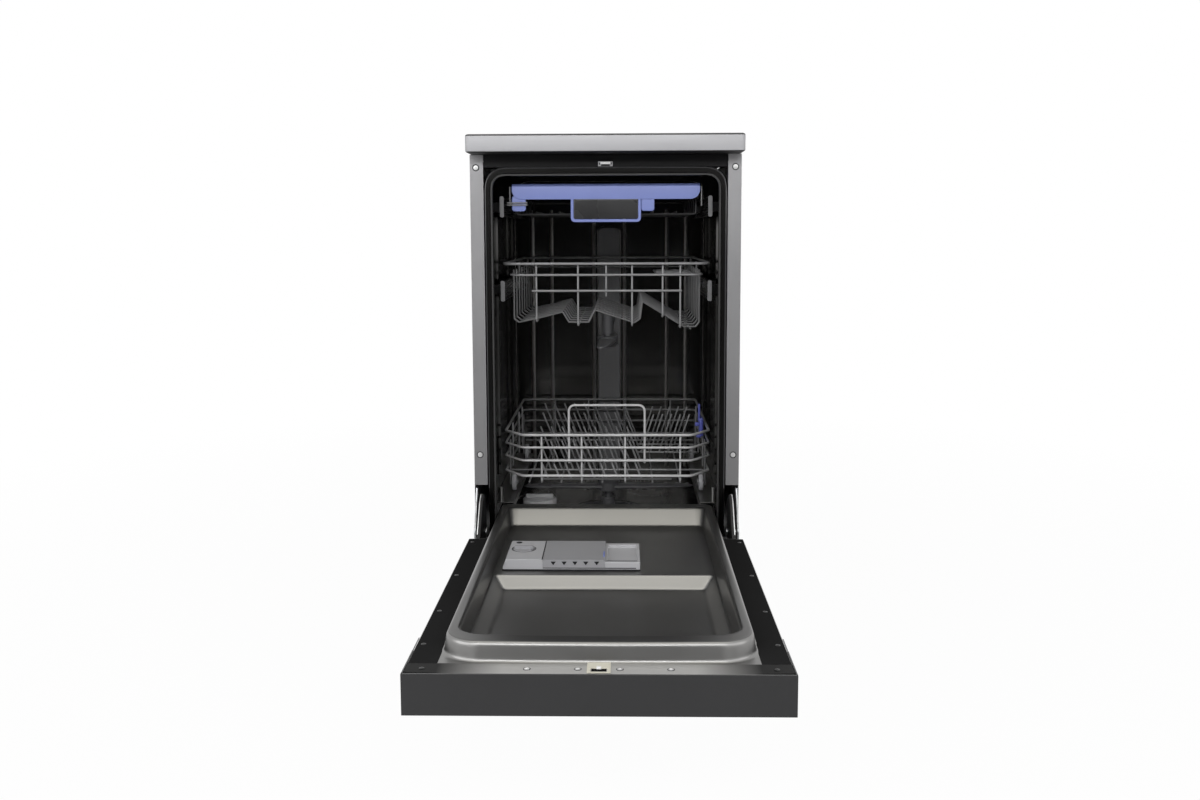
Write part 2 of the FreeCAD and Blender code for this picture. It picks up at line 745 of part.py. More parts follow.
def liner_form(inset):
    """The door's inside up to the tub side of its liner, drawn in by inset on every face."""
    back = liner_y - apron_depth
    face = liner_y - inset
    side = panel_half - fit_gap - 0.5
    high = door_top - fascia_wall - fit_gap
    form = block(-side, side, back, face, arm_slot_top + 0.5, high)
    form = form.fuse(block(-apron_half, apron_half, back, face, apron_bottom, high))
    foot = rounded_outline(
        face - 0.5,
        apron_half - inset,
        plateau_low - plateau_draft + inset,
        plateau_high + plateau_draft + 1 - inset,
        plateau_low_corner,
        plateau_top_corner,
    )
    crown = rounded_outline(
        plateau_y - inset,
        plateau_half - inset,
        plateau_low + inset,
        plateau_high - inset,
        plateau_low_corner - inset,
        plateau_top_corner - inset,
    )
    form = form.fuse(frustum(foot, crown))
    shelf_low = plateau_low + rim_end_band
    shelf_high = plateau_high - rim_end_band
    opening_half = plateau_half - rim_band
    side_draft = 6.0
    end_draft = 5.0
    grow = 1.0 / shelf_drop
    mouth = rounded_outline(
        plateau_y + 1,
        opening_half + inset + side_draft * grow,
        shelf_low - inset - shelf_ramp * grow,
        shelf_high + inset + end_draft * grow,
        14.0,
        30.0,
    )
    shelf = rounded_outline(
        shelf_y - inset,
        opening_half - side_draft + inset,
        shelf_low + shelf_ramp - inset,
        shelf_high - end_draft + inset,
        12.0,
        26.0,
    )
    deep_half = opening_half - 8
    deep_low = plateau_low + deep_start
    deep_high = shelf_high - 8
    deep_mouth = rounded_outline(
        shelf_y + 0.5,
        deep_half + inset,
        deep_low - inset,
        deep_high + inset,
        6.0,
        22.0,
    )
    deep_floor = rounded_outline(
        deep_y - inset,
        deep_half - deep_inset + inset,
        deep_low + deep_drop - inset,
        deep_high - deep_inset + inset,
        6.0,
        16.0,
    )
    return form.cut(frustum(mouth, shelf)).cut(frustum(deep_mouth, deep_floor))


def door_liner():
    """The pressed inner skin with its screws, latch and bottom seal."""
    liner = liner_form(0).cut(liner_form(liner_sheet))
    back = liner_y - apron_depth
    face = liner_y - 0.5
    inside = apron_half - liner_sheet
    walls = both_sides(block(inside, apron_half, back, face, apron_bottom, arm_slot_top))
    walls.append(block(-apron_half, apron_half, back, face, apron_bottom, apron_bottom + liner_sheet))
    walls.append(block(-apron_half, apron_half, back, back + liner_sheet, apron_bottom, panel_bottom + 12))
    liner = fuse([liner] + walls)
    window = block(
        dispenser_left + dispenser_wall,
        dispenser_right - dispenser_wall,
        deep_y,
        plateau_y,
        dispenser_low + dispenser_wall,
        dispenser_high - dispenser_wall,
    )
    latch_low = door_top - fascia_wall - 1 - latch_height
    latch_half = latch_width / 2
    hole_half = latch_half - 2.5
    latch_hole = block(-hole_half, hole_half, liner_y - 9, liner_y + 9, latch_low + 8, door_top - 5.5)
    liner = liner.cut(window).cut(latch_hole)
    outward = V(0, -1, 0)
    spots = [(x, door_top - 16.0) for x in (24.0, 82.0, 0.91 * panel_half)]
    spots += [(panel_half - 9.0, z) for z in (arm_slot_top + 22, 460.0, 610.0, fascia_bottom + 22)]
    screws = []
    for x, z in spots:
        hole = screw_hole(V(x, liner_y, z), outward, liner_screw_head)
        liner = liner.cut(hole).cut(mirror_x(hole))
        screws += both_sides(screw(V(x, liner_y, z), outward, liner_screw_head, 8.0))
    save("door_liner", [open_door(liner.removeSplitter())])
    save("door_screws", [open_door(s) for s in screws])

    latch_high = latch_low + latch_height
    case_half = hole_half - 0.5
    throat_half = case_half - 1
    plate = block(-latch_half, latch_half, liner_y + seat_gap, liner_y + 1.2, latch_low, latch_high)
    case = block(-case_half, case_half, liner_y - 24, liner_y + 0.5, latch_low + 8.5, door_top - 6)
    throat = block(-throat_half, throat_half, liner_y - 14, liner_y + 9, strike_z - 5, strike_z + 5)
    pawl = block(-5, 5, liner_y - 13.5, liner_y - 9.5, strike_z - 5.5, strike_z + 5.5)
    save("door_latch", [open_door(fuse([fuse([plate, case]).cut(throat), pawl]))])

    seal_top = apron_bottom - seat_gap
    seal = block(-apron_half, apron_half, liner_y - 9, liner_y - 1, seal_top - 3.5, seal_top)
    save("door_bottom_seal", [open_door(seal)])


def door_front():
    """Outer panel, control panel with pocket handle, display, buttons and the board behind them."""
    skin_y = door_front_y
    panel_top = fascia_bottom - 0.5
    edge_y = liner_y - liner_sheet - 0.1
    hem_depth = 18.0
    face = block(-panel_half, panel_half, skin_y, skin_y + sheet, panel_bottom, panel_top)
    hem = block(-panel_half, panel_half, skin_y, skin_y + hem_depth, panel_bottom, panel_bottom + sheet)
    inside = panel_half - sheet
    flank = block(inside, panel_half, skin_y, edge_y, arm_slot_top + 0.5, panel_top)
    neck = block(inside, panel_half, skin_y + 13, edge_y, fascia_bottom - 1, door_top - fascia_lip - 0.5)
    skirt = block(inside, panel_half, skin_y, skin_y + hem_depth, panel_bottom, arm_slot_top + 1)
    flanks = both_sides(flank) + both_sides(neck) + both_sides(skirt)
    save("door_outer_panel", [open_door(fuse([face, hem] + flanks))])

    outer = panel_half + fascia_overlap
    front = block(-outer, outer, fascia_y, fascia_y + fascia_wall, fascia_bottom, door_top)
    cap = block(-outer, outer, fascia_y, liner_y, door_top - fascia_wall, door_top)
    cheek = block(panel_half - 0.3, outer, fascia_y, liner_y, door_top - fascia_lip, door_top)
    low_cheek = block(panel_half - 0.3, outer, fascia_y, fascia_y + 12.5, fascia_bottom, door_top)
    grip_half = handle_width / 2
    grip_low = fascia_bottom + 8
    grip_high = grip_low + handle_height
    grip_back = fascia_y + handle_depth
    pocket = block(-grip_half, grip_half, fascia_y - 1, grip_back, grip_low, grip_high)
    shell = block(-grip_half - 2, grip_half + 2, fascia_y, grip_back + 2, grip_low - 2, grip_high + 2)
    fascia = fuse([front, cap, shell] + both_sides(cheek) + both_sides(low_cheek)).cut(pocket)
    key_z = door_top - 36.0
    key_x = [display_width / 2 + 60.0, display_width / 2 + 60.0 + button_pitch, -display_width / 2 - 108.0]
    lens_half = display_width / 2
    lens_low = key_z - display_height / 2
    lens_high = key_z + display_height / 2
    fascia = fascia.cut(block(-lens_half, lens_half, fascia_y - 1, fascia_y + 9, lens_low, lens_high))
    for x in key_x:
        before = V(x, fascia_y - 1, key_z)
        fascia = fascia.cut(cylinder(button_radius + fit_gap, before, before + V(0, 10, 0)))
    save("control_panel", [open_door(fascia)])
    pane_half = lens_half - 0.1
    lens = block(-pane_half, pane_half, fascia_y - 0.3, fascia_y + 2.2, lens_low + 0.1, lens_high - 0.1)
    save("display_window", [open_door(lens)])

    board_y = fascia_y + board_gap
    rear = fascia_y + fascia_wall
    for name, x in zip(("button_start", "button_program", "button_power"), key_x):
        key = cylinder(button_radius, V(x, fascia_y - 1.5, key_z), V(x, rear + 1, key_z))
        stem = rod(2.5, V(x, rear, key_z), V(x, board_y - button_travel - fit_gap, key_z))
        collar = rod(button_radius + 2.0, V(x, rear + 0.1, key_z), V(x, rear + 1.6, key_z), hidden_sides)
        save(name, [open_door(fuse([key, stem, collar]))])
    board = block(-190, 190, board_y, board_y + 1.6, key_z - 22, key_z + 22)
    chips = []
    for x in (-120, -60, 20, 90):
        chips.append(block(x, x + 24, board_y + 1.5, board_y + 9, key_z - 14, key_z + 10))
    post = block(178, 186, board_y + 1.5, board_y + 12, key_z + 14, door_top - fascia_wall - 0.1)
    save("control_board", [open_door(fuse([board] + chips + both_sides(post)))])


def dispenser():
    """Detergent cup with its sliding lid, beside the rinse-aid block and its turning cap."""
    rise_y = shelf_y + dispenser_rise
    track_y = rise_y - lid_thick - fit_gap
    back_y_cup = shelf_y - dispenser_sink
    split_x = dispenser_left + rinse_block
    lid_x = split_x + lid_width
    seat_y = shelf_y + 0.1
    neck = dispenser_wall + 0.5
    rinse = block(dispenser_left, split_x, seat_y, rise_y, dispenser_low, dispenser_high)
    deck_block = block(split_x, dispenser_right, seat_y, track_y, dispenser_low, dispenser_high)
    tank = block(
        dispenser_left + neck,
        dispenser_right - neck,
        back_y_cup,
        shelf_y + 1,
        dispenser_low + neck,
        dispenser_high - neck,
    )
    cup_low = dispenser_low + 9
    cup_high = dispenser_high - 9
    cup = block(split_x + 8, lid_x - 14, back_y_cup + 4, rise_y + 1, cup_low, cup_high)
    dip = block(lid_x + 4, dispenser_right - 4, track_y - 4, rise_y + 1, cup_low, cup_high)
    knob_x = dispenser_left + 27
    knob_z = dispenser_low + dispenser_height * 0.44
    dish = cylinder(knob_radius + 1.5, V(knob_x, rise_y - 3, knob_z), V(knob_x, rise_y + 1, knob_z))
    slope = [
        V(dispenser_left, rise_y + 0.1, dispenser_low - 1),
        V(dispenser_left + 5, rise_y + 0.1, dispenser_low - 1),
        V(dispenser_left, shelf_y + 5, dispenser_low - 1),
    ]
    bevel = prism(slope, V(0, 0, dispenser_height + 2))
    case = fuse([rinse, deck_block, tank]).cut(cup).cut(dip).cut(dish).cut(bevel)
    save("dispenser_body", [open_door(case)])

    skirt_low = dispenser_high + fit_gap
    skirt_high = skirt_low + 1.3
    lid = block(split_x + 0.4, lid_x, track_y + fit_gap, rise_y, dispenser_low, skirt_high)
    skirt = block(split_x + 0.4, lid_x, shelf_y + 5, rise_y, skirt_low, skirt_high)
    lid = fuse([lid, skirt])
    notch_count = 5
    notch_pitch = lid_width / (notch_count + 0.75)
    for i in range(notch_count):
        x = split_x + 13 + i * notch_pitch
        corner = V(x, rise_y - 3, skirt_low - 1)
        lid = lid.cut(prism([corner, corner + V(6, 0, 0), corner + V(3, -4, 0)], V(0, 0, 5)))
    save("dispenser_lid", [open_door(lid)])

    knob = cylinder(knob_radius, V(knob_x, rise_y - 2.7, knob_z), V(knob_x, rise_y + 0.5, knob_z))
    grip = knob_radius - 2
    bar = block(knob_x - grip, knob_x + grip, rise_y, rise_y + 5, knob_z - 2.5, knob_z + 2.5)
    save("rinse_aid_cap", [open_door(fuse([knob, bar]))])


def lower_basket():
    """Four rim wires with jogged front corners, a rod floor, leaning tines, wheels and a wire handle."""

    def rim(z, radius):
        points = [
            V(-lower_front_half, rack_front, z),
            V(lower_front_half, rack_front, z),
            V(lower_half, rack_front + lower_jog, z),
            V(lower_half, rack_back, z),
            V(-lower_half, rack_back, z),
            V(-lower_half, rack_front + lower_jog, z),
        ]
        return wire_along(points, radius, rim_sides, 14.0, True)

    third_z = lower_rim - 45
    rims = [rim(z, rim_wire) for z in (lower_rim, lower_floor + 12)]
    rims += [rim(z, wire) for z in (lower_rim - 22, third_z)]
    handle_y = rack_front + rim_wire + wire + weld_gap
    handle_top = lower_rim + handle_rise
    loop = [
        V(-handle_half, handle_y, third_z - 6),
        V(-handle_half, handle_y, handle_top),
        V(handle_half, handle_y, handle_top),
        V(handle_half, handle_y, third_z - 6),
    ]
    save("lower_basket_rims", rims + [wire_along(loop, wire, rim_sides, 12.0)])

    front = rack_front + rim_wire + fine_wire + weld_gap
    back = rack_back - rim_wire - fine_wire - weld_gap
    side_x = lower_half - rim_wire - fine_wire - weld_gap
    post_low = lower_floor + fine_wire + weld_gap
    cross_z = lower_floor + 2 * fine_wire + weld_gap
    tine_low = cross_z + fine_wire * (1 + tine_slope) + weld_gap
    post_x = (-114.0, -44.0, 32.0, 128.0)
    rods = []
    for x in post_x + (-136.0, -80.0, -8.0, 80.0):
        rods.append(rod(fine_wire, V(x, front - fine_wire, lower_floor), V(x, back + fine_wire, lower_floor)))
    for x in post_x:
        for y in (front, back):
            rods.append(rod(fine_wire, V(x, y, post_low), V(x, y, lower_rim)))
    for y in (-60.0, 60.0, 130.0):
        rods += both_sides(rod(fine_wire, V(side_x, y, post_low), V(side_x, y, lower_rim)))
    cross_end = side_x - fine_wire - weld_gap
    for row, (share, height) in enumerate(tine_rows):
        y = rack_front + share * rack_length
        reach = cross_end if row else tine_pitch / 2 - tine_start
        rods.append(rod(fine_wire, V(-reach, y, cross_z), V(reach, y, cross_z)))
        for i in range(tine_count):
            root = V(tine_start + i * tine_pitch, y, tine_low)
            rods.append(rod(fine_wire, root, root + V(-tine_slope * height, 0, height)))
    spike_end = spike_start - spike_pitch / 2
    spike_y = rack_front + spike_row * rack_length
    rods.append(rod(fine_wire, V(spike_end, spike_y, cross_z), V(cross_end, spike_y, cross_z)))
    for i in range(spike_count):
        root = V(spike_start + i * spike_pitch, spike_y, tine_low)
        rods.append(rod(fine_wire, root, root + V(spike_slope * spike_height, 0, spike_height)))
    carriers = []
    ear_x = wheel_x + wheel_width + 1.5
    for y in (wheel_front_y, wheel_rear_y):
        ear = block(ear_x, lower_half - rim_wire - 0.1, y - 12, y + 12, wheel_z - 5, lower_floor + 60)
        axle = cylinder(wheel_axle, V(wheel_x - 2, y, wheel_z), V(ear_x + 1, y, wheel_z))
        head = rod(wheel_axle + 2, V(wheel_x - 3, y, wheel_z), V(wheel_x - 1, y, wheel_z), hidden_sides)
        carriers += both_sides(fuse([ear, axle, head]))
    save("lower_basket_wires", rods + carriers)

    for name, y in (("lower_front_wheels", wheel_front_y), ("lower_rear_wheels", wheel_rear_y)):
        tyre = cylinder(wheel_radius, V(wheel_x, y, wheel_z), V(wheel_x + wheel_width, y, wheel_z))
        bore = cylinder(wheel_axle + fit_gap, V(wheel_x - 1, y, wheel_z), V(ear_x, y, wheel_z))
        save(name, both_sides(tyre.cut(bore)))

    fold_y = rack_front + fold_row * rack_length
    fold_z = lower_floor + 2 * fine_wire + fit_gap
    parts = [rod(fine_wire, V(spike_end, fold_y, fold_z), V(cross_end - 1, fold_y, fold_z))]
    for i in range(spike_count):
        root = V(spike_start + i * spike_pitch, fold_y, fold_z)
        parts.append(rod(fine_wire, root, root + V(spike_slope * spike_height, 0, spike_height)))
    save("folding_tines", [fuse(parts)])

    clip_y = -60.0
    clip = block(cross_end - 7, cross_end + 1.2, clip_y - 15, clip_y + 15, lower_rim - 26, lower_rim + 36)
    clip = clip.makeFillet(3, edges_along(clip, V(1, 0, 0)))
    held = V(side_x, clip_y, lower_floor)
    clip = clip.cut(rod(fine_wire + fit_gap, held, held + V(0, 0, lower_height + 5)))
    save("tine_clip", [clip])


def upper_basket():
    """Two rim wires, a short front wire, and a floor of wires that rise and fall across the width."""

    def rim(z, side, radius):
        front = [V(-side, upper_front, z), V(side, upper_front, z)]
        back = [V(side, rack_back, z), V(-side, rack_back, z)]
        return wire_along(front + back, radius, rim_sides, 22.0, True)

    second_z = upper_rim - 19
    inner = upper_half - 11
    save("upper_basket_rims", [rim(upper_rim, upper_half, rim_wire), rim(second_z, inner, wire)])

    low = upper_rim - upper_depth
    hang = inner - wire - fine_wire - weld_gap
    crest = (-20.0, low + 21)
    valley = (48.0, low - 1)
    outline = [
        (-hang, second_z + 8),
        (-hang, low + 6),
        (-hang + 8, low),
        (-119.0, low + 7),
        (-76.0, low + 18),
        (-65.0, low),
        (-31.0, low),
        crest,
        valley,
        (58.0, low + 6),
        (62.0, low + 36),
        (134.0, low - 8),
        (hang - 6, low - 8),
        (hang, low),
        (hang, second_z + 8),
    ]
    wave_count = 8
    first = upper_front + 34
    last = rack_back - 34
    pitch = (last - first) / (wave_count - 1)
    waves = []
    for i in range(wave_count):
        waves.append(wire_along([V(x, first + i * pitch, z) for x, z in outline], fine_wire))
    save("upper_basket_floor", waves)

    under = 2 * fine_wire + weld_gap
    rods = []
    for x, z in ((-48.0, low - under), (145.0, low - 8 - under)):
        rods.append(rod(fine_wire, V(x, first - 6, z), V(x, last + 6, z)))
    bar_z = upper_rail_mid
    post_y = upper_front + rim_wire + fine_wire + weld_gap
    rods.append(rod(wire, V(-127, upper_front, bar_z), V(129, upper_front, bar_z)))
    for x, foot in ((-119.0, 30.0), (-48.0, 12.0), (0.0, 10.0), (44.0, 10.0), (96.0, 22.0), (126.0, 4.0)):
        rods.append(rod(fine_wire, V(x, post_y, bar_z - foot), V(x, post_y, upper_rim)))
    hooks = rail_hooks(inner + wire + weld_gap, upper_rail_mid, upper_rim - rim_wire - 0.2)
    save("upper_basket_wires", rods + hooks)

    mouth_y = duct_y - duct_depth - 10.0 - fit_gap
    hanger_half = 6.0
    slope = (valley[1] - crest[1]) / (valley[0] - crest[0])
    hanger_top = crest[1] + slope * (hanger_half - crest[0]) - fine_wire * 1.06 - fit_gap
    hanger_y = [first + i * pitch for i in range(wave_count) if abs(first + i * pitch) < pitch]
    pipe = cylinder(feed_radius, V(0, 0, feed_z), V(0, mouth_y, feed_z))
    bell = Part.makeCone(feed_radius, feed_radius + 5, 14.0, V(0, mouth_y - 14, feed_z), V(0, 1, 0))
    hub = upright(feed_radius + 3, 0, 0, feed_z - 10, hanger_top - 4)
    hanger = block(-hanger_half, hanger_half, hanger_y[0] - 4, hanger_y[-1] + 4, hanger_top - 5, hanger_top)
    arm_z = feed_z - 22.5
    stub = upright(spindle_radius, 0, 0, arm_z - 3 + fit_gap, feed_z)
    save("upper_feed_pipe", [fuse([pipe, bell, hub, hanger, stub])])
    arm = spray_arm(V(0, 0, 0), upper_spray_reach)
    arm.rotate(V(0, 0, 0), V(1, 0, 0), 180)
    arm.rotate(V(0, 0, 0), V(0, 0, 1), -upper_spray_turn)
    arm.translate(V(0, 0, arm_z))
    save("upper_spray_arm", [arm])

    hinge_x = hang - 2 * fine_wire - 0.4
    free_x = hinge_x - cup_shelf_reach
    shelf_z = upper_rim - 22.0
    y0 = -150.0
    y1 = 90.0
    frame = [V(hinge_x, y0, shelf_z), V(free_x, y0, shelf_z), V(free_x, y1, shelf_z), V(hinge_x, y1, shelf_z)]
    parts = [rod(fine_wire, V(hinge_x, y0 - 4, shelf_z), V(hinge_x, y1 + 4, shelf_z))]
    parts.append(wire_along(frame, fine_wire, wire_sides, 10.0))
    slat_count = 5
    slat_pitch = (y1 - y0) / (slat_count + 1)
    for i in range(slat_count):
        y = y0 + slat_pitch * (i + 1)
        parts.append(rod(fine_wire, V(hinge_x, y, shelf_z), V(free_x, y, shelf_z)))
    save("cup_shelf", [fuse(parts)])


def rail_hooks(near_x, mid, top):
    """The four runners of a rack: a block inside each rail and an arm up to the rack's side."""
    hooks = []
    for y in (0.0, 178.0):
        runner = block(near_x, rail_outer - rail_wall - fit_gap, y, y + 20, mid - 6, mid + 6)
        arm = block(near_x, near_x + 2.5, y, y + 20, mid - 6, top)
        hooks += both_sides(fuse([runner, arm]))
    return hooks


def cutlery_tray():
    """A shallow wire tray with runners, and a moulded grip across its front."""
    corners = [
        V(-tray_half, tray_front, tray_rim),
        V(tray_half, tray_front, tray_rim),
        V(tray_half, rack_back, tray_rim),
        V(-tray_half, rack_back, tray_rim),
    ]
    frame = [wire_along(corners, wire, rim_sides, 14.0, True)]
    hang = tray_half - wire - fine_wire - weld_gap
    low = tray_rim - tray_depth
    high = tray_rim + 4
    loop_count = 7
    first = tray_front + 40
    pitch = (rack_back - 24 - first) / (loop_count - 1)
    for i in range(loop_count):
        y = first + i * pitch
        loop = [V(-hang, y, high), V(-hang, y, low), V(hang, y, low), V(hang, y, high)]
        frame.append(wire_along(loop, fine_wire))
    over = low + 2 * fine_wire + weld_gap
    rod_count = 7
    rod_pitch = 40.0
    for i in range(rod_count):
        x = rod_pitch * (i - (rod_count - 1) / 2)
        frame.append(rod(fine_wire, V(x, first - 8, over), V(x, rack_back - 16, over)))
    save("tray_frame", frame + rail_hooks(tray_half + wire + weld_gap, tray_rail_mid, tray_rim + 3))

    front = tray_front - wire - 9
    bar_low = tray_rim - 4
    bar_high = tray_rim + 22
    grip = [
        (front, bar_low),
        (front + 3, bar_low),
        (front + 3, bar_high - 6),
        (front + 9, bar_high - 3),
        (front + 22, bar_high - 3),
        (front + 22, bar_high),
        (front + 6, bar_high),
        (front, bar_high - 4),
    ]
    bar = side_plate(grip, -tray_half, tray_half)
    plate_low = bar_low - tray_plate_height
    plate = frustum(
        rounded_outline(front, tray_plate_half, plate_low, bar_low + 8, 8.0, 1.0),
        rounded_outline(front + 3, tray_plate_half, plate_low, bar_low + 8, 8.0, 1.0),
    )
    clips = []
    for x in (-138.0, 72.0):
        clips.append(block(x - 13, x + 13, front + 2, front + 8.8, tray_rim - 22, tray_rim + 2))
    save("tray_handle", [fuse([bar, plate] + clips)])


def rails(name, mid):
    """A pair of sliding C rails with plastic end caps."""
    inner = rail_outer - rail_depth
    end = rail_length / 2
    low = mid - rail_height / 2
    high = mid + rail_height / 2
    web = block(rail_outer - rail_wall, rail_outer, -end, end, low, high)
    lips = [block(inner, rail_outer, -end, end, z, z + rail_wall) for z in (low, high - rail_wall)]
    cap = block(inner - 1, rail_outer + fit_gap / 2, -end - 4, -end - seat_gap, low - 1, high + 1)
    cap = cap.makeFillet(2.5, edges_along(cap, V(0, 1, 0)))
    save(name, both_sides(fuse([web] + lips)) + both_sides(cap))


cabinet_shell()
base_group()
hinge_group()
tub_group()
wash_group()
door_liner()
door_front()
dispenser()
lower_basket()
upper_basket()
cutlery_tray()
rails("tray_rails", tray_rail_mid)
rails("upper_rails", upper_rail_mid)
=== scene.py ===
import bmesh
import bpy
import json
import math
import numpy as np
from mathutils import Matrix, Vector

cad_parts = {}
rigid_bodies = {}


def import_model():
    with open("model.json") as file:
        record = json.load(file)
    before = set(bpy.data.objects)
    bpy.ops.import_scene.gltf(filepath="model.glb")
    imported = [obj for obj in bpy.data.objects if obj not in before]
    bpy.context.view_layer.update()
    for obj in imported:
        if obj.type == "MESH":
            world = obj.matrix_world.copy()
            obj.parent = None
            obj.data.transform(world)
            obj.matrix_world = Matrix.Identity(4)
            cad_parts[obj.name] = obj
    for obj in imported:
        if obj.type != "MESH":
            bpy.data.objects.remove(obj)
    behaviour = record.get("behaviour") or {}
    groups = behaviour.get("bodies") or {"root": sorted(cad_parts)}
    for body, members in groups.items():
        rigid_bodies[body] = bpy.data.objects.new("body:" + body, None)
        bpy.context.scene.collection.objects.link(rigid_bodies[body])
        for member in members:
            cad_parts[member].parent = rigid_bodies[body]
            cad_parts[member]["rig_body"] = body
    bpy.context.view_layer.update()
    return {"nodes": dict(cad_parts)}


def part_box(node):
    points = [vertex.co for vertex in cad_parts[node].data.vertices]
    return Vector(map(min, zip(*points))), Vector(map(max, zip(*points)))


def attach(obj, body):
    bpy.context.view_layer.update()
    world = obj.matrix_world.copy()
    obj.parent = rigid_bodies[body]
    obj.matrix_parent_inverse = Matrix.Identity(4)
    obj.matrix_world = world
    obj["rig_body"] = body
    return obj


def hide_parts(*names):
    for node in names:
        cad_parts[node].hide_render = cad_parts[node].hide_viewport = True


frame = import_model()
nodes = frame["nodes"]
mm = 0.001
scene = bpy.context.scene
scene.view_settings.view_transform = "Standard"


# a shader socket that can be used in plain sums
class Link:
    def __init__(self, tree, socket):
        self.tree = tree
        self.socket = socket

    # any node: its settings go in first, then the values or links of its sockets
    def node(self, kind, settings, values, out=0):
        made = self.tree.nodes.new(kind)
        for key, value in settings.items():
            setattr(made, key, value)
        for key, value in values.items():
            if isinstance(value, Link):
                self.tree.links.new(value.socket, made.inputs[key])
            else:
                made.inputs[key].default_value = value
        return Link(self.tree, made.outputs[out])

    def sum(self, operation, first, second):
        return self.node("ShaderNodeMath", {"operation": operation}, {0: first, 1: second})

    def __add__(self, other):
        return self.sum("ADD", self, other)

    def __radd__(self, other):
        return self.sum("ADD", other, self)

    def __sub__(self, other):
        return self.sum("SUBTRACT", self, other)

    def __rsub__(self, other):
        return self.sum("SUBTRACT", other, self)

    def __mul__(self, other):
        return self.sum("MULTIPLY", self, other)

    def __rmul__(self, other):
        return self.sum("MULTIPLY", other, self)

    # 1 where the value lies above or below a level, else 0
    def above(self, level):
        return self.sum("GREATER_THAN", self, level)

    def below(self, level):
        return self.sum("LESS_THAN", self, level)

    def larger(self, other):
        return self.sum("MAXIMUM", self, other)

    def smaller(self, other):
        return self.sum("MINIMUM", self, other)

    def size(self):
        return self.sum("ABSOLUTE", self, 0.0)

    # one coordinate of a place: 0, 1 or 2 for x, y or z
    def axis(self, index):
        return self.node("ShaderNodeSeparateXYZ", {}, {"Vector": self}, index)

    # runs straight from the first value to the last between two levels, and stays level outside them
    def slope(self, start, end, first=0.0, last=1.0):
        return self.node("ShaderNodeMapRange", {}, {0: self, 1: start, 2: end, 3: first, 4: last})

    def mix(self, first, second):
        return self.node("ShaderNodeMix", {"data_type": "RGBA"}, {0: self, 6: first, 7: second}, 2)

    def bump(self, strength, distance):
        return self.node("ShaderNodeBump", {}, {"Height": self, "Strength": strength, "Distance": distance})


def shade(colour, factor=1.0):
    return tuple(c * factor for c in colour) + (1.0,)


# a material with its shader, and its object coordinates in metres
def newFinish(name, **constants):
    material = bpy.data.materials.new(name)
    material.use_nodes = True
    tree = material.node_tree
    shader = tree.nodes["Principled BSDF"]
    for key, value in constants.items():
        shader.inputs[key.replace("_", " ")].default_value = value
    place = Link(tree, tree.nodes.new("ShaderNodeTexCoord").outputs["Object"])
    return material, shader, place


def feed(shader, **links):
    for key, link in links.items():
        link.tree.links.new(link.socket, shader.inputs[key.replace("_", " ")])


def noise(place, scale, detail=3.0, rough=0.5):
    values = {"Vector": place, "Scale": scale, "Detail": detail, "Roughness": rough}
    return place.node("ShaderNodeTexNoise", {}, values)


def stretched(place, scale):
    return place.node("ShaderNodeMapping", {}, {"Vector": place, "Scale": scale})


# the fine grain of sheet metal along one axis, and the soft clouds in its gloss
def sheetGrain(place, grain):
    return noise(stretched(place, grain), 1.0, 4.0, 0.6), noise(place, 9.0, 2.0)


# plain sheet metal; one given a fall has painted shade, darker low down: it turns from a duller tone at a low
# level to its own at a high one
def metalSheet(name, colour, rough, grain, depth, metallic=1.0, shine=0.5, fall=None):
    material, shader, place = newFinish(name, Metallic=metallic, Specular_IOR_Level=shine)
    lines, clouds = sheetGrain(place, grain)
    sheet = (lines * 0.5 + clouds * 0.5).mix(shade(colour, 0.9), shade(colour, 1.1))
    # painted shade: the sheet is darker towards the bottom
    if fall:
        tone, low, high = fall
        sheet = place.axis(2).slope(low, high).mix(shade(colour, tone), sheet)
    feed(
        shader,
        Base_Color=sheet,
        Roughness=clouds * (rough * 0.5) + lines * (rough * 0.2) + rough * 0.65,
        Normal=lines.bump(0.12, depth),
    )
    return material


# worktop sheet darkened between two heights round its rounded upper edge, painted shade on the rounding, and
# dark below a foot height, a painted shadow along its underside
def worktopSheet(name, colour, rough, seam, foot):
    material, shader, place = newFinish(name, Metallic=0.25)
    lines, clouds = sheetGrain(place, (6.0, 500.0, 900.0))
    z = place.axis(2)
    # painted shade on the rounded upper edge, and painted shadow below the foot
    dark = z.above(seam[0]) * z.below(seam[1])
    sheet = (lines * 0.5 + clouds * 0.5).mix(shade(colour, 0.92), shade(colour, 1.08))
    feed(
        shader,
        Base_Color=z.below(foot).mix(dark.mix(sheet, shade(colour, 0.12)), shade(colour, 0.03)),
        Roughness=clouds * (rough * 0.5) + lines * (rough * 0.2) + rough * 0.65,
        Normal=lines.bump(0.12, 0.00005),
    )
    return material


# the tub: bright drawn stainless inside, with a painted highlight on the ribs of its back wall, painted shade
# that deepens towards its mouth, and dark on the front frame round it
def tubSheet(name, colour, rough, mouth, near, ribHighlightDepths):
    material, shader, place = newFinish(name, Metallic=1.0)
    lines, clouds = sheetGrain(place, (900.0, 900.0, 14.0))
    y = place.axis(1)
    lip = y.below(mouth)
    ribHighlight = y.above(ribHighlightDepths[0]) * y.below(ribHighlightDepths[1])
    sheet = (lines * 0.5 + clouds * 0.5).mix(shade(colour, 0.9), shade(colour, 1.1))
    # painted highlight on the back wall's ribs
    sheet = ribHighlight.mix(sheet, shade(colour, 6.0))
    # painted shade, deeper towards the mouth
    sheet = y.slope(*near, 0.8, 0.0).mix(sheet, shade(colour, 0.12))
    feed(
        shader,
        Base_Color=lip.mix(sheet, shade(colour, 0.12)),
        Roughness=clouds * (rough * 0.5) + lines * (rough * 0.2) + lip * 0.15 + ribHighlight * 0.2 + rough * 0.65,
        Normal=lines.bump(0.12, 0.00003),
    )
    return material


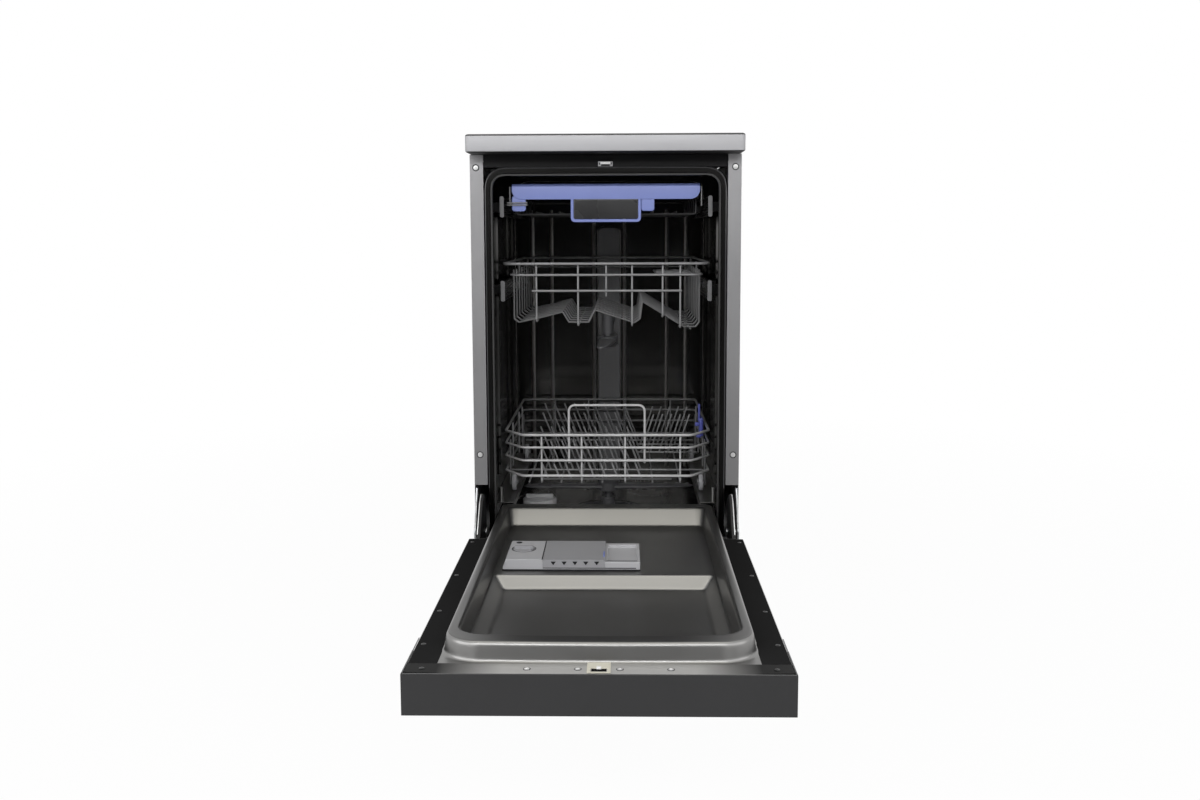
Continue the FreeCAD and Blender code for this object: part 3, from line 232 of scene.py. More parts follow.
# where the liner's painted light and shade lie, in metres: y of the flat edge, x of its corners, z of the
# crest, and the ranges of the front tray and of the inner sides
linerLightAndShade = {
    "edge": -0.8575,
    "corners": (0.11, 0.185),
    "crest": 0.2225,
    "tray": (-0.825, -0.537),
    "trayHalf": 0.163,
    "flank": (0.15, 0.164),
    "flankHalf": 0.1695,
    "flankFront": -0.8,
}


# the door's brushed liner: satin steel; paler and rougher on the flat edge by the latch, a painted
# reflection; dark towards its corners; darker along the crest, down in the front tray and on the inner sides,
# painted shade
def linerSheet(name, colour, rough, at):
    material, shader, place = newFinish(name, Metallic=1.0)
    lines, clouds = sheetGrain(place, (10.0, 900.0, 900.0))
    side, y, z = place.axis(0).size(), place.axis(1), place.axis(2)
    rim = y.below(at["edge"])
    crest = z.above(at["crest"]) * 0.8
    tray = y.above(at["tray"][0]) * y.below(at["tray"][1]) * side.below(at["trayHalf"]) * 0.45
    flank = side.slope(*at["flank"], 0.0, 0.9) * side.below(at["flankHalf"]) * y.above(at["flankFront"])
    steel = (lines * 0.4 + clouds * 0.6).mix(shade(colour, 0.95), shade(colour, 1.05))
    # painted shade along the crest, in the front tray and on the inner sides
    steel = tray.larger(crest.larger(flank)).mix(steel, shade(colour, 0.45))
    # painted reflection: the flat edge by the latch paler than the rest of the sheet
    pale = lines.mix(shade(colour, 1.7), shade(colour, 1.9))
    pale = side.slope(*at["corners"]).mix(pale, shade(colour, 0.05))
    feed(
        shader,
        Base_Color=rim.mix(steel, pale),
        Roughness=clouds * (rough * 0.3) + lines * (rough * 0.2) + rim * 0.2 + rough * 0.75,
        Normal=lines.bump(0.03, 0.00003),
    )
    return material


# cream moulding, painted near black down inside its mouth: painted shade in the recess
def latchMoulding(name, colour, mouth):
    material, shader, place = newFinish(name)
    skin = noise(place, 900.0, 2.0)
    cream = skin.mix(shade(colour, 0.95), shade(colour, 1.05))
    # painted shade: near black below the height of the mouth
    feed(
        shader,
        Base_Color=place.axis(2).below(mouth).mix(cream, (0.006, 0.006, 0.006, 1.0)),
        Roughness=skin * 0.1 + 0.38,
        Normal=skin.bump(0.2, 0.00005),
    )
    return material


# a rail: dark drawn steel with a pale moulded cap on its front end
def cappedRail(name, steel, cap, end):
    material, shader, place = newFinish(name)
    lines = noise(stretched(place, (700.0, 8.0, 700.0)), 1.0, 3.0)
    front = place.axis(1).below(end)
    drawn = lines.mix(shade(steel, 0.85), shade(steel, 1.15))
    feed(
        shader,
        Base_Color=front.mix(drawn, lines.mix(shade(cap, 0.95), shade(cap, 1.05))),
        Metallic=1.0 - front,
        Roughness=lines * 0.1 + front * 0.1 + 0.22,
        Normal=lines.bump(0.1, 0.00003),
    )
    return material


# moulded plastic: a fine pebbled skin, a slow drift in tone and a little handling shine
def moulded(name, colour, rough, pebble=900.0, depth=0.00006, coat=0.0, shine=0.5):
    material, shader, place = newFinish(name, Coat_Weight=coat, Coat_Roughness=0.2, Specular_IOR_Level=shine)
    skin = noise(place, pebble, 2.0)
    drift = noise(place, 14.0, 3.0)
    feed(
        shader,
        Base_Color=(drift * 0.7 + skin * 0.3).mix(shade(colour, 0.88), shade(colour, 1.1)),
        Roughness=drift * 0.14 + (rough - 0.07),
        Normal=skin.bump(0.3, depth),
    )
    return material


# nylon dip coat on wire: satin, thicker and paler in slow patches along the wire; one with a depth shade has
# painted shade, turning to a darker tone between a near and a far place
def dippedCoat(name, colour, rough, depthShade=None):
    material, shader, place = newFinish(name, Coat_Weight=0.25, Coat_Roughness=0.25)
    patches = noise(place, 55.0, 3.0)
    grit = noise(place, 1400.0, 1.0)
    coat = patches.mix(shade(colour, 0.8), shade(colour, 1.2))
    # painted shade, darker deeper into the basket
    if depthShade:
        tone, near, far = depthShade
        coat = place.axis(1).slope(near, far).mix(coat, shade(colour, tone))
    feed(
        shader,
        Base_Color=coat,
        Roughness=patches * 0.2 + (rough - 0.1),
        Normal=(patches + grit * 0.2).bump(0.2, 0.0002),
    )
    return material


# hot-dip zinc: large flat crystals, each with its own tone and gloss
def zincSpangle(name, colour, size):
    material, shader, place = newFinish(name, Metallic=1.0)
    crystals = place.node("ShaderNodeTexVoronoi", {}, {"Vector": place, "Scale": size}, 1)
    tone = crystals.node("ShaderNodeSeparateColor", {}, {"Color": crystals})
    grain = noise(place, 400.0, 2.0)
    feed(
        shader,
        Base_Color=(tone * 0.8 + grain * 0.2).mix(shade(colour, 0.75), shade(colour, 1.15)),
        Roughness=tone * 0.16 + grain * 0.08 + 0.3,
        Normal=(tone + grain * 0.4).bump(0.12, 0.0002),
    )
    return material


# rubber: matt, finely pitted, with a bloom in the pits
def sealRubber(name, colour):
    material, shader, place = newFinish(name)
    pits = noise(place, 700.0, 3.0)
    bloom = noise(place, 30.0, 3.0)
    feed(
        shader,
        Base_Color=bloom.mix(shade(colour, 0.8), shade(colour, 1.6)),
        Roughness=bloom * 0.25 + 0.4,
        Normal=pits.bump(0.3, 0.0001),
    )
    return material


# sand-cast iron: coarse grains over slow lumps
def sandCast(name, colour):
    material, shader, place = newFinish(name, Metallic=0.5)
    lumps = noise(place, 45.0, 4.0)
    grains = noise(place, 600.0, 3.0)
    feed(
        shader,
        Base_Color=lumps.mix(shade(colour, 0.7), shade(colour, 1.4)),
        Roughness=grains * 0.3 + 0.55,
        Normal=(lumps * 2.0 + grains).bump(0.6, 0.0006),
    )
    return material


# smoked clear plastic with faint wiping marks in its gloss
def smokedPane(name, colour):
    material, shader, place = newFinish(name, IOR=1.49, Transmission_Weight=0.6, Coat_Weight=0.5)
    wipes = noise(stretched(place, (12.0, 260.0, 12.0)), 1.0, 3.0)
    feed(shader, Base_Color=wipes.mix(shade(colour, 0.9), shade(colour, 1.2)), Roughness=wipes * 0.08 + 0.04)
    return material


# circuit board: green lacquer over raised copper tracks, with bare pads
def boardLacquer(name, colour):
    material, shader, place = newFinish(name, Coat_Weight=0.4)
    tracks = place.node("ShaderNodeTexBrick", {}, {"Vector": place, "Scale": 90.0, "Mortar Size": 0.09}, 1)
    pads = place.node("ShaderNodeTexVoronoi", {}, {"Vector": place, "Scale": 260.0})
    bare = pads.below(0.14)
    green = tracks.mix(shade(colour), shade(colour, 1.9))
    feed(
        shader,
        Base_Color=bare.mix(green, (0.55, 0.5, 0.4, 1.0)),
        Roughness=0.45 - bare * 0.15,
        Normal=tracks.bump(0.3, 0.0002),
    )
    return material


# stainless sheet with a field of small round holes, for the filters
def filterMesh(name, colour):
    material, shader, place = newFinish(name, Metallic=1.0)
    cells = place.node("ShaderNodeTexVoronoi", {}, {"Vector": place, "Scale": 420.0, "Randomness": 0.0})
    solid = cells.above(0.32)
    feed(
        shader,
        Base_Color=solid.mix((0.01, 0.01, 0.01, 1.0), shade(colour)),
        Roughness=0.5 - solid * 0.15,
        Normal=solid.bump(0.5, 0.0004),
    )
    return material


# scales of the grain: brushed upwards, or the same all ways for paint, strips and turned steel
upGrain = (700.0, 700.0, 12.0)
paintGrain = (300.0, 300.0, 300.0)
stripGrain = (60.0, 60.0, 60.0)
turnedGrain = (900.0, 900.0, 900.0)
# colour and roughness come first; levels and places are heights or depths in metres
finishes = {
    # the worktop: painted shade round its upper edge and painted shadow under its front
    "worktop": worktopSheet("worktop silver", (0.35, 0.35, 0.364), 0.5, seam=(0.8468, 0.8495), foot=0.8222),
    "panel": metalSheet("cabinet silver", (0.27, 0.268, 0.275), 0.42, upGrain, 0.00004, 0.55),
    # the side panels: painted shade, darker towards the floor
    "side": metalSheet(
        "side silver", (0.262, 0.26, 0.267), 0.42, upGrain, 0.00004, 0.55, fall=(0.74, 0.3, 0.8)
    ),
    "darkPaint": metalSheet("dark paint", (0.004, 0.004, 0.0045), 0.36, paintGrain, 0.00003, 0.0, 0.15),
    # the tub: painted highlight on its back ribs, painted shade towards its mouth
    "tub": tubSheet(
        "tub stainless",
        (0.13, 0.128, 0.125),
        0.14,
        mouth=-0.2362,
        near=(-0.0962, -0.0562),
        ribHighlightDepths=(0.2445, 0.2485),
    ),
    "tubFloor": metalSheet("tub floor stainless", (0.24, 0.238, 0.232), 0.26, (900.0, 14.0, 900.0), 0.00003),
    # the liner: a painted reflection on its flat front edge, painted shade on its crest, front tray and inner
    # sides
    "liner": linerSheet("liner stainless", (0.25, 0.248, 0.244), 0.36, linerLightAndShade),
    "strip": metalSheet("edge strip black", (0.018, 0.018, 0.0185), 0.5, stripGrain, 0.00003, 0.0, 0.0),
    # the latch: painted shade inside its mouth
    "latch": latchMoulding("latch cream", (0.55, 0.53, 0.45), mouth=0.2009),
    "rail": cappedRail("capped rail", (0.07, 0.07, 0.07), (0.12, 0.12, 0.125), end=-0.2119),
    "track": metalSheet("track stainless", (0.2, 0.2, 0.195), 0.34, (900.0, 10.0, 900.0), 0.00003),
    "screw": metalSheet("screw steel", (0.62, 0.62, 0.62), 0.34, turnedGrain, 0.00003, 0.6),
    "darkScrew": metalSheet("blackened screw", (0.05, 0.05, 0.05), 0.3, turnedGrain, 0.00003),
    # a pale strip on the control panel's edge: painted highlight
    "edge": metalSheet("panel edge", (0.07, 0.07, 0.072), 0.4, stripGrain, 0.00003, 0.3),
    "zinc": zincSpangle("zinc sheet", (0.42, 0.43, 0.44), 90.0),
    "black": moulded("black plastic", (0.01, 0.01, 0.011), 0.42, shine=0.25),
    "grey": moulded("light grey plastic", (0.36, 0.36, 0.375), 0.4),
    "dispenser": moulded("dispenser grey", (0.36, 0.36, 0.376), 0.42),
    "lid": moulded("lid grey", (0.25, 0.25, 0.263), 0.42),
    # the salt cap's grey, raised above its own tone to make up for the shade it sits in: painted light
    "cap": moulded("cap grey", (0.55, 0.55, 0.56), 0.34, coat=0.2),
    "tongue": moulded("tongue white", (0.75, 0.75, 0.75), 0.3),
    "hub": moulded("mid grey plastic", (0.085, 0.085, 0.09), 0.32, coat=0.2),
    "duct": moulded("duct grey", (0.115, 0.115, 0.119), 0.36),
    "fascia": moulded("fascia grey", (0.026, 0.026, 0.027), 0.5, 1500.0, 0.00002, shine=0.25),
    "blue": moulded("blue plastic", (0.165, 0.205, 0.46), 0.38, coat=0.1),
    "clip": moulded("deep blue plastic", (0.075, 0.09, 0.36), 0.3, coat=0.3),
    "button": moulded("silver key plastic", (0.42, 0.42, 0.43), 0.3),
    "plate": moulded("bare dark plate", (0.017, 0.017, 0.018), 0.28, coat=0.2),
    "wire": dippedCoat("wire coat", (0.18, 0.18, 0.184), 0.34),
    # a paler copy of the wire coat for the lower basket's rims, painted light, with painted shade towards the
    # back
    "rimWire": dippedCoat("rim wire coat", (0.4, 0.4, 0.405), 0.34, depthShade=(0.3, -0.17, -0.08)),
    # a darker copy of the wire coat for the upper basket's floor: painted shade
    "shadeWire": dippedCoat("dark wire coat", (0.1, 0.1, 0.102), 0.36),
    # a near black copy of the wire coat for the cutlery tray: painted shade
    "shadedTrayWire": dippedCoat("tray wire coat", (0.02, 0.02, 0.021), 0.48),
    "bead": moulded("bead black", (0.03, 0.03, 0.032), 0.24, coat=0.4),
    "rubber": sealRubber("seal rubber", (0.012, 0.012, 0.012)),
    "iron": sandCast("cast weight", (0.06, 0.06, 0.062)),
    "pane": smokedPane("smoked pane", (0.02, 0.02, 0.024)),
    "board": boardLacquer("board lacquer", (0.02, 0.13, 0.05)),
    "filter": filterMesh("filter mesh", (0.4, 0.4, 0.4)),
}
print("finishes", len(finishes))


# one mesh from several shapes, each of points, quads and longer faces
def newPiece(name, shapes, finish, body, stands=(), crease=38.0):
    starts = np.cumsum([0] + [len(s[0]) for s in shapes])
    points = np.concatenate([s[0] for s in shapes])
    faces = []
    for (_, quads, ends), start in zip(shapes, starts):
        faces += (np.asarray(quads) + start).tolist()
        faces += [(np.asarray(end) + start).tolist() for end in ends]
    mesh = bpy.data.meshes.new(name)
    mesh.from_pydata((points * mm).tolist(), [], faces)
    return dress(name, mesh, finish, body, stands, crease)


def dress(name, mesh, finish, body, stands, crease, flat=0.0):
    shell = bmesh.new()
    shell.from_mesh(mesh)
    bmesh.ops.remove_doubles(shell, verts=shell.verts, dist=2e-6)
    if flat:
        bmesh.ops.dissolve_limit(shell, angle_limit=flat, verts=shell.verts, edges=shell.edges)
    else:
        bmesh.ops.recalc_face_normals(shell, faces=shell.faces)
    shell.to_mesh(mesh)
    shell.free()
    mesh.shade_smooth()
    mesh.set_sharp_from_angle(angle=math.radians(crease))
    mesh.materials.append(finishes[finish])
    piece = bpy.data.objects.new(name, mesh)
    scene.collection.objects.link(piece)
    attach(piece, body)
    if stands:
        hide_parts(*stands)
    return piece


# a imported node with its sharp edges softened: a merged copy with a narrow bevel stands for it
softEdge = {"segments": 2, "angle": 34.0, "flat": 0.6}  # angles in degrees


def softened(node, finish, width):
    source = nodes[node].data
    points = np.zeros(len(source.vertices) * 3)
    source.vertices.foreach_get("co", points)
    corners = np.zeros(len(source.loops), int)
    source.loops.foreach_get("vertex_index", corners)
    mesh = bpy.data.meshes.new(node)
    mesh.from_pydata(points.reshape(-1, 3).tolist(), [], corners.reshape(-1, 3).tolist())
    body, angle, flat = nodes[node]["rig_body"], softEdge["angle"], math.radians(softEdge["flat"])
    piece = dress("soft_" + node, mesh, finish, body, (node,), angle, flat)
    if width:
        bevel = piece.modifiers.new("edges", "BEVEL")
        bevel.width = width * mm
        bevel.segments = softEdge["segments"]
        bevel.limit_method = "ANGLE"
        bevel.angle_limit = math.radians(angle)
        bevel.use_clamp_overlap = True


# the quads of a grid of points, rows by columns, closed round either way
def gridFaces(rows, columns, wrapRows=False, wrapColumns=False):
    r = np.arange(rows if wrapRows else rows - 1)[:, None]
    c = np.arange(columns if wrapColumns else columns - 1)[None, :]
    r2 = (r + 1) % rows
    c2 = (c + 1) % columns
    corners = [r * columns + c, r * columns + c2, r2 * columns + c2, r2 * columns + c]
    return np.stack([np.broadcast_to(k, (len(r), c.shape[1])) for k in corners], -1).reshape(-1, 4)


# each corner p becomes a short parabola, (1-t)^2 a + 2t(1-t) p + t^2 b, with a and b set back along its runs
def roundCorners(points, bend, closed=False, steps=6):
    p = np.asarray(points, float)
    back = np.roll(p, 1, 0) - p
    ahead = np.roll(p, -1, 0) - p
    if not closed:
        p, back, ahead = p[1:-1], back[1:-1], ahead[1:-1]
    back = back / np.linalg.norm(back, axis=1, keepdims=True)
    ahead = ahead / np.linalg.norm(ahead, axis=1, keepdims=True)
    halfAngle = np.arccos(np.clip((back * ahead).sum(1), -1, 1)) / 2
    reach = (np.broadcast_to(bend, halfAngle.shape) / np.tan(halfAngle))[:, None]
    t = np.linspace(0, 1, steps)[None, :, None]
    a = (p + back * reach)[:, None]
    b = (p + ahead * reach)[:, None]
    path = ((1 - t) ** 2 * a + 2 * t * (1 - t) * p[:, None] + t**2 * b).reshape(-1, p.shape[1])
    if closed:
        return path
    return np.concatenate([np.asarray(points[:1], float), path, np.asarray(points[-1:], float)])


# round wire: a circle carried along a path that lies in one plane, with domed ends
def wireTube(path, radius, flat=(0, 0, 1), sides=8, closed=False):
    path = np.asarray(path, float)
    flat = np.asarray(flat, float)
    if closed:
        run = np.roll(path, -1, 0) - np.roll(path, 1, 0)
        radii = np.full(len(path), radius)
    else:
        first = path[1] - path[0]
        last = path[-1] - path[-2]
        first = first / np.linalg.norm(first) * radius
        last = last / np.linalg.norm(last) * radius
        dome = np.array([0.0, 0.3, 1.0])[:, None]
        path = np.concatenate([path[0] + first * dome, path[1:-1], path[-1] - last * dome[::-1]])
        run = np.gradient(path, axis=0)
        radii = np.full(len(path), radius)
        radii[[0, -1]] = 0.0
        radii[[1, -2]] = radius * 0.714
    along = run / np.linalg.norm(run, axis=1, keepdims=True)
    across = np.cross(flat, along)
    turn = 2 * np.pi * np.arange(sides) / sides
    ring = across[:, None] * np.cos(turn)[None, :, None] + flat * np.sin(turn)[None, :, None]
    points = path[:, None] + ring * radii[:, None, None]
    return points.reshape(-1, 3), gridFaces(len(path), sides, closed, True), []


# a straight rod between two points
def straightRod(start, end, radius, sides=8):
    run = np.subtract(end, start).astype(float)
    flat = np.cross(run, (0, 0, 1) if abs(run[2]) < 0.9 * np.linalg.norm(run) else (1, 0, 0))
    return wireTube([start, end], radius, flat / np.linalg.norm(flat), sides)


# a box with rounded edges: its corner centres plus the radius times the unit normal of a sphere grid
def roundBox(low, high, radius, steps=3):
    low = np.asarray(low, float)
    high = np.asarray(high, float)
    radius = np.minimum(np.broadcast_to(radius, 3), (high - low) * 0.499)
    quarter = np.linspace(0, np.pi / 2, steps + 1)
    phi = (np.arange(4)[:, None] * np.pi / 2 + quarter).ravel()
    theta = np.concatenate([quarter - np.pi / 2, quarter])
    east = np.repeat([1, -1, -1, 1], steps + 1)
    north = np.repeat([1, 1, -1, -1], steps + 1)
    up = np.repeat([-1, 1], steps + 1)
    normal = np.stack(
        [
            np.cos(theta)[:, None] * np.cos(phi),
            np.cos(theta)[:, None] * np.sin(phi),
            np.broadcast_to(np.sin(theta)[:, None], (len(theta), len(phi))),
        ],
        -1,
    )
    side = np.stack(np.broadcast_arrays(east[None, :], north[None, :], up[:, None]), -1)
    centre = (low + high) / 2
    points = centre + side * ((high - low) / 2 - radius) + normal * radius
    columns = len(phi)
    ends = [[k * (steps + 1) for k in (3, 2, 1, 0)]]
    ends.append([(len(theta) - 1) * columns + k * (steps + 1) for k in range(4)])
    return points.reshape(-1, 3), gridFaces(len(theta), columns, False, True), ends


# a turned part: a profile of (radius, height) pairs carried round an axis
def turned(profile, centre, axis=(0, 0, 1), sides=40):
    profile = np.asarray(profile, float)
    axis = np.asarray(axis, float)
    across = np.cross(axis, (0, 1, 0) if abs(axis[1]) < 0.9 else (1, 0, 0))
    across = across / np.linalg.norm(across)
    over = np.cross(axis, across)
    turn = 2 * np.pi * np.arange(sides) / sides
    ring = across * np.cos(turn)[:, None] + over * np.sin(turn)[:, None]
    points = np.asarray(centre) + profile[:, :1, None] * ring + profile[:, 1:, None] * axis
    return points.reshape(-1, 3), gridFaces(len(profile), sides, False, True), []


# a closed outline, given as (a, b) pairs, carried straight from one plane to another
def extruded(outline, start, end, order=(0, 1, 2)):
    outline = np.asarray(outline, float)
    count = len(outline)
    layers = [np.column_stack([np.full(count, level), outline]) for level in (start, end)]
    points = np.concatenate(layers)[:, order]
    return points, gridFaces(2, count, False, True), [range(count)[::-1], range(count, 2 * count)]


def mirrored(shape):
    points, quads, ends = shape
    return points * (-1, 1, 1), np.asarray(quads)[:, ::-1], [list(end)[::-1] for end in ends]


def bothSides(shape):
    return [shape, mirrored(shape)]


# the two end faces of a grid whose rows are closed round and whose columns are open
def rowEnds(rows, columns):
    return [[k * columns + place for k in range(rows)] for place in (0, columns - 1)]


worktopSlab = {"corner": (6.0, 6.0, 3.5)}
low, high = (np.array(c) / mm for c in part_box("worktop"))
newPiece(
    "worktop_slab",
    [roundBox(low, high, worktopSlab["corner"], 5)],
    "worktop",
    "cabinet",
    ["worktop"],
)

doorLiner = {
    "flange": 200.5,
    "outerHalf": 221.2,
    "apronHalf": 185.5,
    "apronFrom": -341.5,
    "frontEdge": -886.2,
    "hingeEdge": -183.5,
    "hemLow": 197.5,
    "apronLow": 170.6,
    "sheet": 1.0,
    "samples": (56, 9, 110),  # points along an end, a quarter turn and a side
    "crown": 4.0,
    # how loop points spread to the outer edge: which lie at the sides, and which at the two ends
    "sideFrom": 150.0,
    "spread": 1.16,
    "follow": 0.9,
    "endHalf": 180.0,
    "endDepth": 60.0,
    "edgeFold": 0.8,
    "foldSteps": 6,
    "foldLimits": (0.45, 0.48),  # most of a run that a fold takes, alone and with the flat row beside it
    "flat": 2.5,
    "centre": 0.02,
    "holes": [(-11.0, 11.0, -880.5, -861.0), (-144.0, 47.0, -493.0, -407.0)],
    # half width, front end, hinge end, front corner, hinge corner, height, fillet
    "rings": [
        (185.5, -855.0, -197.0, 42.0, 20.0, 200.5, 4.0),
        (182.5, -851.0, -200.0, 40.0, 19.0, 223.0, 5.0),
        (168.5, -825.0, -226.0, 30.0, 10.0, 223.0, 4.0),
        (162.5, -820.0, -254.0, 26.0, 8.0, 197.0, 3.5),
        (160.0, -817.0, -518.0, 22.0, 5.0, 197.0, 2.5),
        (145.5, -802.0, -535.0, 16.0, 5.0, 180.0, 4.0),
    ],
}


# a rounded rectangle as one loop of points: two ends, two sides and four quarter turns
def linerLoop(half, front, hinge, frontCorner, hingeCorner, samples):
    across, turns, along = samples
    quarter = np.linspace(0, np.pi / 2, turns)
    s = np.linspace(-1, 1, across)
    t = np.linspace(0, 1, along)
    x, y = [], []
    x.append(s * (half - frontCorner))
    y.append(np.full(across, front))
    x.append(half - frontCorner + frontCorner * np.sin(quarter))
    y.append(front + frontCorner - frontCorner * np.cos(quarter))
    x.append(np.full(along, half))
    y.append(front + frontCorner + t * (hinge - hingeCorner - front - frontCorner))
    x.append(half - hingeCorner + hingeCorner * np.cos(quarter))
    y.append(hinge - hingeCorner + hingeCorner * np.sin(quarter))
    x.append(-s * (half - hingeCorner))
    y.append(np.full(across, hinge))
    x.append(hingeCorner - half - hingeCorner * np.sin(quarter))
    y.append(hinge - hingeCorner + hingeCorner * np.cos(quarter))
    x.append(np.full(along, -half))
    y.append(hinge - hingeCorner + t * (front + frontCorner - hinge + hingeCorner))
    x.append(frontCorner - half - frontCorner * np.cos(quarter))
    y.append(front + frontCorner - frontCorner * np.sin(quarter))
    return np.concatenate(x), np.concatenate(y)


# the flange's outer edge and the hem below it: points beside the raised part move out to the door's sides,
# those at its ends to the door's ends, and the apron by the hinge is narrower and hangs lower
def linerEdge(v, loop):
    x, y, _ = loop.T
    narrow = y > v["apronFrom"]
    reach = np.where(narrow, v["apronHalf"], v["outerHalf"])
    edgeX = np.where(np.abs(x) > v["sideFrom"], np.sign(x) * reach, x * v["spread"])
    edgeX = np.clip(edgeX, -reach, reach)
    front, hinge = v["rings"][0][1:3]
    near = y < (v["frontEdge"] + v["hingeEdge"]) / 2
    end = np.where(near, v["frontEdge"], v["hingeEdge"])
    edgeY = end + (y - np.where(near, front, hinge)) * v["follow"]
    edgeY = np.where(np.abs(edgeX) < v["endHalf"], end, edgeY)
    alongSide = (np.abs(y - front) > v["endDepth"]) & (np.abs(y - hinge) > v["endDepth"])
    edgeY = np.where(alongSide, y, edgeY)
    edge = np.stack([edgeX, edgeY, np.full(len(x), v["flange"])], 1)
    hem = edge.copy()
    hem[:, 2] = np.where(narrow, v["apronLow"], v["hemLow"])
    return hem, edge


# the pressing: every loop point runs inwards over the rings in turn, and each fold on the way is a parabola
# between two rows that keep the flats flat
def pressLiner(v):
    loops = []
    for half, front, hinge, frontCorner, hingeCorner, height, _ in v["rings"]:
        x, y = linerLoop(half, front, hinge, frontCorner, hingeCorner, v["samples"])
        turnedIn = np.clip((y - front) / frontCorner, 0, 1)
        y = y + v["crown"] * (x / half) ** 2 * (1 - turnedIn)
        loops.append(np.stack([x, y, np.full(len(x), height)], 1))
    folds = [v["edgeFold"]] + [ring[-1] for ring in v["rings"]]
    centre = loops[-1].copy()
    middle = centre[:, 1].mean()
    centre[:, 0] *= v["centre"]
    centre[:, 1] = middle + (centre[:, 1] - middle) * v["centre"]
    stack = np.stack([*linerEdge(v, loops[0]), *loops, centre])
    rows = [stack[:1]]
    t = np.linspace(0, 1, v["foldSteps"])[:, None, None]
    most, mostFlat = v["foldLimits"]
    for i, fold in enumerate(folds, 1):
        corner = stack[i]
        back = stack[i - 1] - corner
        ahead = stack[i + 1] - corner
        gapBack = np.linalg.norm(back, axis=1, keepdims=True) + 1e-9
        gapAhead = np.linalg.norm(ahead, axis=1, keepdims=True) + 1e-9
        a = corner + back * np.minimum(fold / gapBack, most)
        b = corner + ahead * np.minimum(fold / gapAhead, most)
        rows.append((corner + back * np.minimum((fold + v["flat"]) / gapBack, mostFlat))[None])
        rows.append((1 - t) ** 2 * a + 2 * t * (1 - t) * corner + t**2 * b)
        rows.append((corner + ahead * np.minimum((fold + v["flat"]) / gapAhead, mostFlat))[None])
    rows.append(stack[-1:])
    grid = np.concatenate(rows)
    count, columns = grid.shape[:2]
    points = grid.reshape(-1, 3)
    quads = gridFaces(count, columns, False, True)
    x, y, _ = points[quads].mean(1).T
    keep = np.ones(len(quads), bool)
    for x0, x1, y0, y1 in v["holes"]:
        keep &= ~((x > x0) & (x < x1) & (y > y0) & (y < y1))
    return points, quads[keep], [range((count - 1) * columns, count * columns)]


pressing = pressLiner(doorLiner)
liner = newPiece("door_liner_pressing", [pressing], "liner", "door", ["door_liner"], 60.0)
sheet = liner.modifiers.new("sheet", "SOLIDIFY")
sheet.thickness = doorLiner["sheet"] * mm
sheet.offset = -1.0

# black strips that lie on the door's edge beside the raised part
edgeStrip = {"inner": 186.6, "outer": 220.6, "front": -857.5, "hinge": -343.0, "z": (200.4, 200.62)}
low = (edgeStrip["inner"], edgeStrip["front"], edgeStrip["z"][0])
high = (edgeStrip["outer"], edgeStrip["hinge"], edgeStrip["z"][1])
newPiece("door_edge_strips", bothSides(roundBox(low, high, 0.1)), "strip", "door")

# small trims of the dispenser: five dark notches and a catch on the lid, a level window, seams, a slide
# groove, a seal and the ring round the dial; the dark notches are painted shade inside the lid's notches, and
# the seam along the foot of the body's front is painted shadow
dispenserTrim = {
    "notches": (-79.0, 16.0, 5, 8.0, 211.5, 206.0),  # first x, pitch, count, width, top and tip
    "notchBend": 0.5,
    "front": (-501.0, -499.2),
    "catch": ((-1.7, -484.0, 213.3), (0.8, -458.0, 214.5)),
    "window": (-133.0, -411.0, 214.0),
    "dome": ((4.6, -0.2), (4.6, 0.3), (4.0, 0.6), (2.4, 1.0), (0.0, 1.2)),
    "seam": ((-92.3, -498.7, 213.9), (-90.7, -401.3, 214.12)),
    "groove": ((3.0, -495.2, 210.3), (49.0, -492.6, 210.62)),
    "sillShadow": ((-90.6, -499.6, 200.6), (47.0, -498.8, 201.7)),
    "seal": ((-150.4, -500.2, 197.2), (53.4, -498.8, 199.2)),
    "dish": ((17.6, -0.1), (17.6, 0.12), (18.6, 0.12), (18.6, -0.1), (17.6, -0.1)),
    "dial": (-123.0, -444.12, 214.0),
}
first, pitch, count, width, top, tip = dispenserTrim["notches"]
marks = []
for i in range(count):
    x = first + i * pitch
    corners = [(x, top), (x + width / 2, tip), (x + width, top)]
    outline = roundCorners(corners, dispenserTrim["notchBend"], True, 4)
    marks.append(extruded(outline, *dispenserTrim["front"], (1, 0, 2)))
# dark triangles painted as the shade inside the lid's notches
newPiece("lid_notch_shadows", marks, "black", "detergent_lid")
newPiece("lid_catch", [roundBox(*dispenserTrim["catch"], 0.3)], "blue", "detergent_lid")
marks = [turned(dispenserTrim["dome"], dispenserTrim["window"])]
# the sill strip is painted shadow under the body's front edge
marks += [roundBox(*dispenserTrim[mark], 0.1) for mark in ("seam", "groove", "sillShadow", "seal")]
marks.append(turned(dispenserTrim["dish"], dispenserTrim["dial"]))
newPiece("dispenser_marks", marks, "black", "door")

# a pale strip painted as the highlight on the control panel's edge where it meets the liner, along the front
# and back round both ends
panelEdgeHighlight = {
    "half": 222.9,
    "width": 1.6,
    "endWidth": 1.4,
    "front": -888.4,
    "end": -778.5,
    "z": (200.4, 200.75),
}
half, front, (base, top) = panelEdgeHighlight["half"], panelEdgeHighlight["front"], panelEdgeHighlight["z"]
highlightLine = [roundBox((-half, front, base), (half, front + panelEdgeHighlight["width"], top), 0.15)]
highlightLine += bothSides(roundBox((half - panelEdgeHighlight["endWidth"], front, base), (half, panelEdgeHighlight["end"], top), 0.15))
newPiece("panel_edge_highlight", highlightLine, "edge", "door")

# white tongue at the back of the latch's mouth
latchTongue = ((-2.8, -873.0, 200.0), (2.8, -867.0, 202.1))
newPiece("latch_tongue", [roundBox(*latchTongue, 0.6)], "tongue", "door")
print("door liner")

